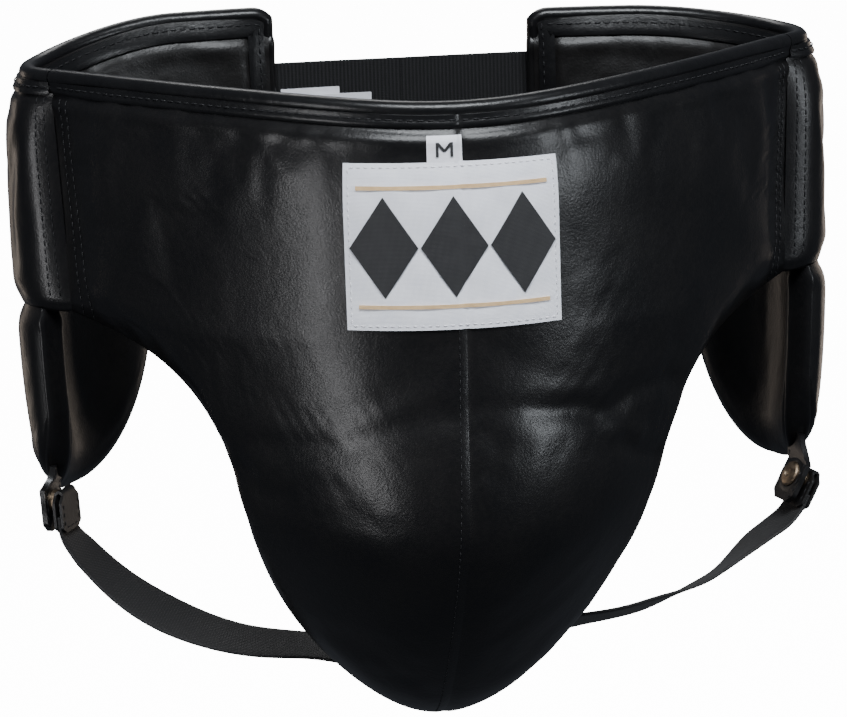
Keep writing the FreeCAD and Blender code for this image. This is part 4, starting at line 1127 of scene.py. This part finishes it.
def belt_core(name):
    belt = belts[name]
    a, b = grid(0.02, 0.98, 35, 21)
    b = 0.03 + b * 0.94
    piece = block("side_pad_" + name, belt.skin("outer", a, b, -2.3),
                  belt.skin("inner", a, b, -2.0), look["foam"])
    stand(piece, "foam", "side_foam_" + name)
    return corner_blend(piece)


def belt_lining(name):
    belt = belts[name]
    a, b = grid(0.0, 0.994, 118, 66, 0.99)
    inner = belt.skin("inner", a, b)
    away = -belt.outer_direction(belt.split(a, b)[0])
    piece = slab("side_lining_in_" + name, inner, LINING, look["lining"], away)
    stand(piece, "lining", "side_lining_" + name)
    return corner_blend(piece)


def belt_binding(name):
    """Leather folded over the top edge and round the back end of the wing."""
    belt = belts[name]
    last = belt.length - 2.2
    top = np.linspace(0.6, last, 150)
    line = np.stack([top, belt.limits(top)[0]], -1)
    low = belt.limits(np.array([last]))
    down = np.linspace(low[0][0], low[1][0] - 1.0, 50)[1:]
    line = np.concatenate([line, np.stack([last + 0 * down, down], -1)])
    tangent = unit(np.gradient(line, axis=0))
    inward = np.stack([tangent[:, 1], -tangent[:, 0]], -1)
    for _ in range(12):
        inward[1:-1] = (inward[:-2] + inward[1:-1] * 2 + inward[2:]) / 4
    inward = unit(inward)

    def on(drop, depth_of):
        s, z = line[:, 0] + inward[:, 0] * drop, line[:, 1] + inward[:, 1] * drop
        s = np.minimum(s, last)
        return belt.at(s, z, depth_of(s, z))
    columns = []
    for drop in np.linspace(8.4, 3.2, 6):
        sink = 0.55 * bell(drop - 5.2, 1.0) + 0.5 * float(step(drop, 7.4, 8.4))
        columns.append(on(drop, lambda s, z: -1.0 + sink + 0 * s))
    out = on(0.0, lambda s, z: -1.5 + 0 * s)
    inn = on(0.0, lambda s, z: EDGE + 1.2 + 0 * s)
    edge = belt.along(line[:, 0]) * -inward[:, :1] - UP * inward[:, 1:]
    middle, half = (out + inn) / 2 - edge * 1.6, (out - inn) / 2
    for angle in np.linspace(-0.5, math.pi + 0.5, 13):
        columns.append(middle + half * 0.98 * math.cos(angle) + edge * 3.4 * math.sin(angle))
    for drop in np.linspace(3.2, 10.4, 7):
        columns.append(on(drop, lambda s, z: belt.thickness_at(s, z) + 1.0
                          - 0.5 * float(step(drop, 8.5, 10.4))))
    full = np.stack(columns, 1)
    piece = slab("side_binding_roll_" + name, full, BINDING, look["binding"],
                 full - middle[:, None])
    stand(piece, "binding_leather", "side_binding_" + name)
    corner_blend(piece)
    normals = belt.outer_direction(line[:, 0])
    rows = [(on(5.2, lambda s, z: -0.95 + 0 * s), normals),
            (on(5.2, lambda s, z: belt.thickness_at(s, z) + 1.1), -normals)]
    thread = stitches("side_binding_stitches_" + name, rows, look["thread"], 3.0, 4.1, 0.32)
    return corner_blend(thread)


def belt_stitches(name):
    belt = belts[name]
    z = np.linspace(-9.5, -93.0, 60)
    lines = []
    for s in (3.4, 6.4):
        a = s / (belt.length - 2.2) + 0 * z
        top, low = belt.limits(s + 0 * z)
        b = (z - top) / (low - top)
        lines.append((belt.skin("outer", a, b, 0.1), belt.outer_direction(s + 0 * z)))
    piece = stitches("wing_seam_stitches_" + name, lines, look["thread"], *SEAM_STITCH)
    return corner_blend(piece)


# ---------------------------------------------------------------- hip pads

def hip_pieces(name):
    hip = hips[name]
    a, b = grid(0.0, 1.0, 66, 58)
    facing = hip.belt.outer_direction(hip.split(a, b)[0])
    outer, inner = hip.skin("outer", a, b), hip.skin("inner", a, b)
    piece = slab("hip_leather_" + name, outer, LEATHER, look["leather"], facing)
    stand(piece, "cover_leather", "hip_cover_" + name)
    corner_blend(piece)
    piece = slab("hip_lining_in_" + name, inner, LINING, look["lining"], -facing)
    stand(piece, "lining", "hip_lining_" + name)
    corner_blend(piece)
    c, d = grid(0.03, 0.97, 25, 25)
    d = 0.04 + d * 0.92
    piece = block("hip_pad_" + name, hip.skin("outer", c, d, -2.0), hip.skin("inner", c, d, -1.8),
                  look["foam"])
    stand(piece, "foam", "hip_foam_" + name)
    corner_blend(piece)

    border_a = np.concatenate([np.zeros(58), np.linspace(0, 1, 110)[1:], np.ones(40)])
    border_b = np.concatenate([np.linspace(0, 1, 58), np.ones(109), np.linspace(1, 0, 41)[1:]])
    s, z = hip.split(border_a, border_b)
    ds, dz = np.gradient(s), np.gradient(z)
    size = np.maximum(np.hypot(ds, dz), 1e-6)
    away_s, away_z = dz / size, -ds / size
    for _ in range(6):
        away_s[1:-1] = (away_s[:-2] + 2 * away_s[1:-1] + away_s[2:]) / 4
        away_z[1:-1] = (away_z[:-2] + 2 * away_z[1:-1] + away_z[2:]) / 4
    edge = unit(hip.belt.along(s) * away_s[:, None] + UP * away_z[:, None])
    bo, bi = hip.skin("outer", border_a, border_b), hip.skin("inner", border_a, border_b)
    gap = np.linalg.norm(bo - bi, axis=1)
    rows = []
    for angle in np.linspace(0, math.pi, 15):
        c, t = math.cos(angle), math.sin(angle)
        shape = math.copysign(abs(c) ** 0.7, c)
        bulge = (0.55 + 0.11 * gap) * t ** 0.6 - 0.5 * (1 - t ** 0.5)
        rows.append((bo + bi) / 2 + (bo - bi) / 2 * shape * 1.01 + edge * bulge[:, None])
    full = np.stack(rows, 1)
    piece = slab("hip_edge_band_" + name, full, GUSSET, look["leather"],
                 np.broadcast_to(edge[:, None], full.shape))
    stand(piece, "cover_leather", "hip_gusset_" + name)
    corner_blend(piece)
    facing = hip.belt.outer_direction(s)
    inside = unit(edge) * -2.4
    keep = slice(8, -6)
    rows = [((bo + inside + facing * 0.35)[keep], facing[keep]),
            ((bi + inside - facing * 0.35)[keep], -facing[keep])]
    thread = stitches("hip_stitches_" + name, rows, look["thread"], 2.6, 3.5, 0.24)
    corner_blend(thread)


# ---------------------------------------------------------------- waist elastic and tags

def waist_elastic(name):
    belt = belts[name]
    other = belts["right" if name == "left" else "left"]
    z = np.linspace(-13.0, -88.0, 40)
    rows = []
    for s in np.linspace(belt.length - 40.0, belt.length - 1.5, 26):
        rows.append(belt.at(s + 0 * z, z, -1.3 + 0 * z))
    end = rows[-1]
    far = other.at(other.length - 1.5 + 0 * z, z, -1.3 + 0 * z)
    middle = (end + far) / 2
    for share in np.linspace(0, 1, 36)[1:]:
        dip = 0.5 * math.sin(share * math.pi)
        rows.append(end * (1 - share) + middle * share + np.array([0.0, dip, 0.0]))
    points = np.stack(rows)
    steps = np.linalg.norm(np.diff(points[:, 0], axis=0), axis=1)
    along = np.concatenate([[0.0], np.cumsum(steps)])
    uv = np.stack(np.broadcast_arrays(along[:, None], z[None]), -1)
    back = np.array([0.0, 1.0, 0.0])
    piece = slab("waist_elastic_" + name, points, ELASTIC, look["elastic"], back, uv)
    stand(piece, "waist_webbing", "waist_elastic")
    elastic_blend(piece, name)


def elastic_blend(piece, name):
    """Bakes the transform of the elastic, or of what hangs on it, into its mesh. The back end of
    the named wing is worked out but not used.
    """
    belt = belts[name]
    end = belt.at(np.array([belt.length]), np.array([-50.0]), np.array([0.0]))[0]
    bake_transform(piece)


def end_patch(name):
    belt = belts[name]
    s, z = np.meshgrid(np.linspace(belt.length - 46.0, belt.length - 16.0, 26),
                       np.linspace(-9.5, -91.5, 56), indexing="ij")
    border = np.minimum(np.minimum(s - s.min(), s.max() - s), np.minimum(z.max() - z, z - z.min()))
    points = belt.at(s, z, -2.4 - 0.5 * rise(border, 2.5))
    piece = slab("elastic_patch_" + name, points, 1.2, look["strap"],
                 belt.outer_direction(s))
    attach(piece, name + "_wing")
    stand(piece, "strap_leather", "elastic_end_patch_" + name)
    lines = []
    s0, s1, z0, z1 = s.min() + 2.6, s.max() - 2.6, -12.1, -88.9
    corners = [(s0, z0), (s1, z0), (s1, z1), (s0, z1)]
    for (p, q), (r, t) in zip(corners, corners[1:] + corners[:1]):
        u, w = np.linspace(p, r, 30), np.linspace(q, t, 30)
        lines.append((belt.at(u, w, -3.0 + 0 * u), belt.outer_direction(u)))
    thread = stitches("elastic_patch_stitches_" + name, lines, look["thread"], 2.6, 3.6, 0.26)
    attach(thread, name + "_wing")


def care_tags():
    for number in (1, 2):
        low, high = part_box("care_tag_%d" % number)
        low, high = np.array(low) / MM, np.array(high) / MM
        x, t = np.meshgrid(np.linspace(low[0], high[0], 20), np.linspace(0, 1, 26), indexing="ij")
        z = high[2] + (low[2] - high[2]) * t
        y = low[1] - 0.8 * np.sin(t * 2.6 + number) - 0.5 * np.sin((x - low[0]) * 0.16 + number)
        y = y - 1.6 * t ** 2
        points = np.stack([x, y, z], -1)
        piece = slab("care_label_%d" % number, points, 0.3, look["tag"], np.array([0.0, -1.0, 0.0]),
                     np.stack([x, z], -1))
        elastic_blend(piece, "left")
        stand(piece, "woven_tag", "care_tag_%d" % number)


# ---------------------------------------------------------------- press studs and leg straps

STUDS = {
    "left": {"centre": (-164.5, -2.0, -184.0), "turn": 26.0, "lean": 3.0},
    "right": {"centre": (157.5, -2.0, -193.0), "turn": 17.0, "lean": 30.0},
}


class Stud:
    """Where a press stud sits: x across the strap, y up the strap, z out of the cap."""

    def __init__(self, name):
        facts = STUDS[name]
        self.side = -1 if name == "left" else 1
        turn, lean = math.radians(facts["turn"]), math.radians(facts["lean"])
        level = np.array([self.side * math.cos(turn), math.sin(turn), 0.0])
        self.across = np.array([self.side * math.sin(turn), -math.cos(turn), 0.0])
        self.down = -UP * math.cos(lean) - level * math.sin(lean)
        self.outward = level * math.cos(lean) - UP * math.sin(lean)
        self.cap = self.outward * -self.side
        self.centre = np.array(facts["centre"])

    def at(self, x, y, z):
        x, y, z = (np.asarray(v, float)[..., None] for v in (x, y, z))
        return self.centre + self.across * x - self.down * y + self.cap * z


studs = {name: Stud(name) for name in SIDES}
STRAP_WIDTH, STRAP_THICK = 22.0, 1.5
STRAP_GATHER = 0.76  # how far the strap is drawn in inside its end patch
TAB_HALF, CAP_RADIUS = 8.0, 5.6
PLY_FACE, PLY_MIDDLE, PLY = -4.5, -6.7, 1.2


def hip_tab(name):
    """A doubled leather tab from inside the hip pad's corner to below the press stud."""
    hip, stud = hips[name], studs[name]
    root_s = hip.FIRST + 13.0
    root_z = float(hip.low(np.array(root_s))) + 4.0
    depth = float(hip.thickness_at(np.array(root_s), np.array(root_z))) / 2
    root = hip.at(np.array([root_s]), np.array([root_z]), np.array([depth]))[0]
    normal0 = hip.belt.outer_direction(np.array([root_s]))[0]
    across0 = np.cross(UP, normal0) * -stud.side
    flat_top = stud.centre - stud.down * (CAP_RADIUS + 1.0)
    turning = root - UP * 6.0
    rows, normals, path = [], [], []
    for share in np.linspace(0, 1, 26):
        w = 0.6 + 0.4 * float(step(share, 0.0, 1.0))
        rest = 1 - share
        centre = root * rest ** 2 + turning * (2 * share * rest) + flat_top * share ** 2
        normal = unit(normal0 * (1 - w) + stud.outward * w)
        across = across0 * (1 - w) + stud.across * w
        path.append((centre, unit(across - normal * (across @ normal)), normal, TAB_HALF))
    for distance in np.linspace(0.0, 18.6, 30)[1:]:
        half = TAB_HALF - max(0.0, distance - 15.1)
        path.append((flat_top + stud.down * distance, stud.across, stud.outward, half))
    share = np.linspace(-1, 1, 27)
    for centre, across, normal, half in path:
        press = unit(normal)
        place = centre + across * (share * half)[:, None]
        radius = np.linalg.norm(place - stud.centre, axis=1)
        dent = 0.35 * bell(radius - CAP_RADIUS - 0.6, 1.0)
        rows.append(place + press * (1.25 - dent)[:, None])
        normals.append(np.broadcast_to(normal, place.shape))
    outer, facing = np.stack(rows), np.stack(normals)
    piece = slab("stud_tab_" + name, outer, 2.5, look["leather"], facing)
    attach(piece, name + "_wing")
    stand(piece, "cover_leather", "hip_tab_" + name)
    keep = slice(6, -2)
    lines = []
    for column in (2, -3):
        for sign in (1, -1):
            line = outer[keep, column] - (facing[keep, column] * (0 if sign > 0 else 2.5))
            lines.append((line + facing[keep, column] * sign * 0.05, facing[keep, column] * sign))
    thread = stitches("stud_tab_stitches_" + name, lines, look["thread"], 2.4, 3.4, 0.22)
    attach(thread, name + "_wing")


def strap_fold(name):
    """The strap's end patch, folded over the eyelet with the strap between its plies."""
    stud = studs[name]
    bend, half_ply = [], PLY / 2
    radius = PLY_FACE - half_ply - PLY_MIDDLE
    for y in np.linspace(-12.0, 3.8, 24):
        bend.append((y, PLY_MIDDLE + radius))
    for angle in np.linspace(90, -90, 15)[1:-1]:
        t = math.radians(angle)
        bend.append((3.8 + 1.6 * math.cos(t), PLY_MIDDLE + radius * math.sin(t)))
    for y in np.linspace(3.8, -12.0, 24):
        bend.append((y, PLY_MIDDLE - radius))
    share = np.linspace(-1, 1, 25)
    rows = []
    for y, z in bend:
        half = STRAP_WIDTH / 2 * STRAP_GATHER + 0.3 - 2.6 * float(step(y, 1.0, 4.4))
        half = half - 2.6 * float(step(-y, 9.8, 12.0))
        rows.append(stud.at(share * half, y + 0 * share, z + 0 * share))
    centre_line = np.stack(rows)
    flat = np.array(bend)
    tangent = unit(np.gradient(flat, axis=0))
    away = (tangent[:, 0, None] * stud.cap - tangent[:, 1, None] * -stud.down)[:, None]
    away = np.broadcast_to(away, centre_line.shape)
    outer = centre_line + away * half_ply
    piece = slab("strap_fold_" + name, outer, PLY, look["strap"], away)
    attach(piece, name + "_strap_end")
    stand(piece, "strap_leather", "strap_end_" + name)
    lines = []
    far_face = 2 * PLY_MIDDLE - PLY_FACE
    for level, sign in ((PLY_FACE + 0.05, 1), (far_face - 0.05, -1)):
        for x in (-6.9, 6.9):
            y = np.linspace(-9.5, 1.0, 14)
            lines.append((stud.at(x + 0 * y, y, level + 0 * y),
                          np.broadcast_to(stud.cap * sign, (14, 3))))
        x = np.linspace(-5.8, 5.8, 14)
        lines.append((stud.at(x, -10.0 + 0 * x, level + 0 * x),
                      np.broadcast_to(stud.cap * sign, (14, 3))))
    thread = stitches("strap_fold_stitches_" + name, lines, look["thread"], 2.3, 3.2, 0.22)
    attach(thread, name + "_strap_end")


STRAP_ROUTES = {
    "left": [(-153.0, -5.0, -204.5), (-133.5, -11.5, -223.5), (-110.5, -17.5, -237.0),
             (-84.0, -23.5, -245.0), (-57.0, -24.0, -249.0), (-39.0, -31.0, -250.5)],
    "right": [(142.0, -6.0, -218.0), (122.0, -13.5, -230.5), (98.0, -19.5, -239.0),
              (72.0, -24.5, -243.5), (52.0, -24.5, -246.0), (30.0, -33.5, -249.0)],
}
# Direction across each strap, towards its front edge, at shares of its length.
STRAP_TURNS = {
    "left": [(0.35, (-0.616, -0.764, -0.24)), (0.8, (0.0, -0.98, -0.2))],
    "right": [(0.12, (0.08, -1.0, 0.03)), (0.3, (-0.11, -0.97, 0.22)), (0.5, (-0.17, -0.89, 0.43))],
}
STRAP_LIFT = {"left": 6.2, "right": 4.7}


def leg_strap(name):
    stud = studs[name]
    side = stud.side
    top = stud.centre + stud.cap * PLY_MIDDLE + stud.down * 5.0
    start = stud.centre + stud.cap * PLY_MIDDLE + stud.down * 8.9
    leave = start + stud.down * 3.0
    anchor_a, anchor_b = np.array([0.055 * side]), np.array([0.955])
    lift = front.thickness(anchor_a, anchor_b) + STRAP_LIFT[name]
    finish = front.place(anchor_a, anchor_b, lift)[0]
    inside = -front.outward(anchor_a, anchor_b)[0]
    route = Path([start, leave] + STRAP_ROUTES[name] + [finish])
    last_across = np.cross(inside, [-side, 0.0, 0.0]) * side
    stops = [(0.0, stud.across)] + STRAP_TURNS[name] + [(1.0, last_across)]
    shares = np.linspace(0, 1, 141)
    across = np.zeros((len(shares), 3))
    for (low, first), (high, last) in zip(stops, stops[1:]):
        w = step(shares, low, high)[:, None]
        here = (shares >= low) & (shares <= high)
        across[here] = (np.array(first) * (1 - w) + np.array(last) * w)[here]
    centres = route.at(shares * route.length)
    along = route.along(shares * route.length)
    extra = np.linspace(0, 1, 12)[:-1, None]
    centres = np.concatenate([top * (1 - extra) + start * extra, centres])
    along = np.concatenate([np.broadcast_to(stud.down, (11, 3)), along])
    across = np.concatenate([np.broadcast_to(stud.across, (11, 3)), across])
    across = unit(across - along * (across * along).sum(-1, keepdims=True))
    normals = unit(np.cross(along, across))
    steps = np.linalg.norm(np.diff(centres, axis=0), axis=1)
    s = np.concatenate([[0.0], np.cumsum(steps)])
    cut = int(np.searchsorted(s, 24.0))
    for part, keep in (("top", slice(0, cut + 1)), ("run", slice(cut, None))):
        c, x, n = centres[keep], across[keep], normals[keep]
        taper = STRAP_GATHER + (1 - STRAP_GATHER) * step(s[keep], 7.0, 21.0)
        piece = tube("strap_%s_%s" % (part, name), c, x, n, STRAP_WIDTH, STRAP_THICK,
                     look["webbing"], taper)
        if part == "top":
            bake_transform(piece)
        else:
            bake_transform(piece)
        stand(piece, "leg_webbing", "leg_strap_" + name)


def strap_anchor():
    a, b = np.meshgrid(np.linspace(-0.1, 0.1, 40), np.linspace(0.925, 0.985, 16), indexing="ij")
    border = np.minimum(0.1 - np.abs(a), 2.0 * np.minimum(b - 0.925, 0.985 - b))
    lift = 1.2 + 0.9 * rise(border, 0.02)
    points = front.skin("inner", a, b, 0.0, waves=False) - front.outward(a, b) * lift[..., None]
    piece = slab("strap_anchor_patch", points, 1.4, look["strap"], -front.outward(a, b))
    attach(piece, "root")
    stand(piece, "strap_leather", "strap_anchor")
    lines = []
    corners = [(-0.09, 0.932), (0.09, 0.932), (0.09, 0.978), (-0.09, 0.978)]
    for (a0, b0), (a1, b1) in zip(corners, corners[1:] + corners[:1]):
        u, v = np.linspace(a0, a1, 24), np.linspace(b0, b1, 24)
        base = front.skin("inner", u, v, 0.0, waves=False) - front.outward(u, v) * 2.1
        lines.append((base, -front.outward(u, v)))
    thread = stitches("strap_anchor_stitches", lines, look["thread"], 2.4, 3.4, 0.24)
    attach(thread, "root")


# ---------------------------------------------------------------- the whole guard

for name in SIDES:
    front_cover(name)
    front_core(name)
    front_lining(name)
    front_binding(name)
    front_stitches(name)
    belt_cover(name)
    belt_core(name)
    belt_lining(name)
    belt_binding(name)
    belt_stitches(name)
    hip_pieces(name)
    waist_elastic(name)
    end_patch(name)
    hip_tab(name)
    strap_fold(name)
    leg_strap(name)
centre_stitches()
make_labels()
care_tags()
strap_anchor()


# ---------------------------------------------------------------- camera, floor and light

def aim(target, position, roll=0.0):
    """World matrix of something that looks from position at target."""
    back = (Vector(position) - Vector(target)).normalized()
    right = Vector((0, 0, 1)).cross(back).normalized()
    up = back.cross(right)
    c, s = math.cos(roll), math.sin(roll)
    axes = Matrix((right * c - up * s, up * c + right * s, back)).transposed().to_4x4()
    return Matrix.Translation(position) @ axes


def make_camera():
    azimuth, elevation, distance = math.radians(-6.5), math.radians(13.0), 1.45
    target = Vector((0.0, 0.0, -0.125))
    level = math.cos(elevation)
    back = Vector((math.sin(azimuth) * level, -math.cos(azimuth) * level, math.sin(elevation)))
    data = bpy.data.cameras.new("camera")
    data.lens, data.sensor_width = 144.1, 36.0
    data.shift_x, data.shift_y = -0.0077, -0.0183
    data.clip_end = 100.0
    camera = bpy.data.objects.new("camera", data)
    bpy.context.scene.collection.objects.link(camera)
    camera.matrix_world = aim(target, target + back * distance, math.radians(1.85))
    bpy.context.scene.camera = camera


def softbox(name, position, target, size, power, colour=(1.0, 1.0, 1.0)):
    data = bpy.data.lights.new(name, "AREA")
    data.shape, data.size, data.size_y = "RECTANGLE", size[0], size[1]
    data.energy, data.color = power, colour
    lamp = bpy.data.objects.new(name, data)
    bpy.context.scene.collection.objects.link(lamp)
    lamp.matrix_world = aim(target, position)


def make_floor():
    level = -0.62
    mesh = bpy.data.meshes.new("floor")
    mesh.from_pydata([(-30, -8, level), (30, -8, level), (30, 60, level), (-30, 60, level)], [],
                     [(0, 1, 2, 3)])
    floor = bpy.data.objects.new("floor", mesh)
    bpy.context.scene.collection.objects.link(floor)
    f = Finish("studio floor", (0.9, 0.9, 0.9), 0.9)
    f.shader.inputs["Emission Color"].default_value = (1.0, 1.0, 1.0, 1.0)
    f.shader.inputs["Emission Strength"].default_value = 14.0
    mesh.materials.append(f.material)
    floor.visible_diffuse = floor.visible_glossy = False


def make_world():
    world = bpy.data.worlds.new("studio")
    bpy.context.scene.world = world
    world.use_nodes = True
    tree = world.node_tree
    tree.nodes.clear()
    seen, other = tree.nodes.new("ShaderNodeBackground"), tree.nodes.new("ShaderNodeBackground")
    seen.inputs["Color"].default_value = (1.0, 1.0, 1.0, 1.0)
    other.inputs["Color"].default_value = (0.62, 0.68, 0.8, 1.0)
    seen.inputs["Strength"].default_value = 14.0
    other.inputs["Strength"].default_value = 0.12
    ray, mix = tree.nodes.new("ShaderNodeLightPath"), tree.nodes.new("ShaderNodeMixShader")
    out = tree.nodes.new("ShaderNodeOutputWorld")
    tree.links.new(ray.outputs["Is Camera Ray"], mix.inputs[0])
    tree.links.new(other.outputs[0], mix.inputs[1])
    tree.links.new(seen.outputs[0], mix.inputs[2])
    tree.links.new(mix.outputs[0], out.inputs["Surface"])


make_camera()
make_floor()
make_world()
middle = (0.0, -0.09, -0.09)
softbox("top", (0.05, -0.95, 1.25), middle, (1.1, 0.55), 46.0, (0.92, 0.96, 1.0))
softbox("left", (-1.17, -0.98, -0.26), middle, (0.2, 0.8), 7.0, (0.98, 0.98, 1.0))
softbox("right", (1.2, -1.0, 0.06), middle, (0.24, 0.5), 7.0, (0.9, 0.95, 1.0))
softbox("rim left", (-1.05, 1.1, -0.25), middle, (0.3, 0.9), 1.7, (1.0, 0.84, 0.7))
softbox("rim right", (1.05, 1.1, -0.25), middle, (0.3, 0.9), 1.7, (1.0, 0.84, 0.7))
softbox("back", (0.0, 1.4, 1.3), middle, (1.0, 0.6), 9.0)

bpy.context.view_layer.update()
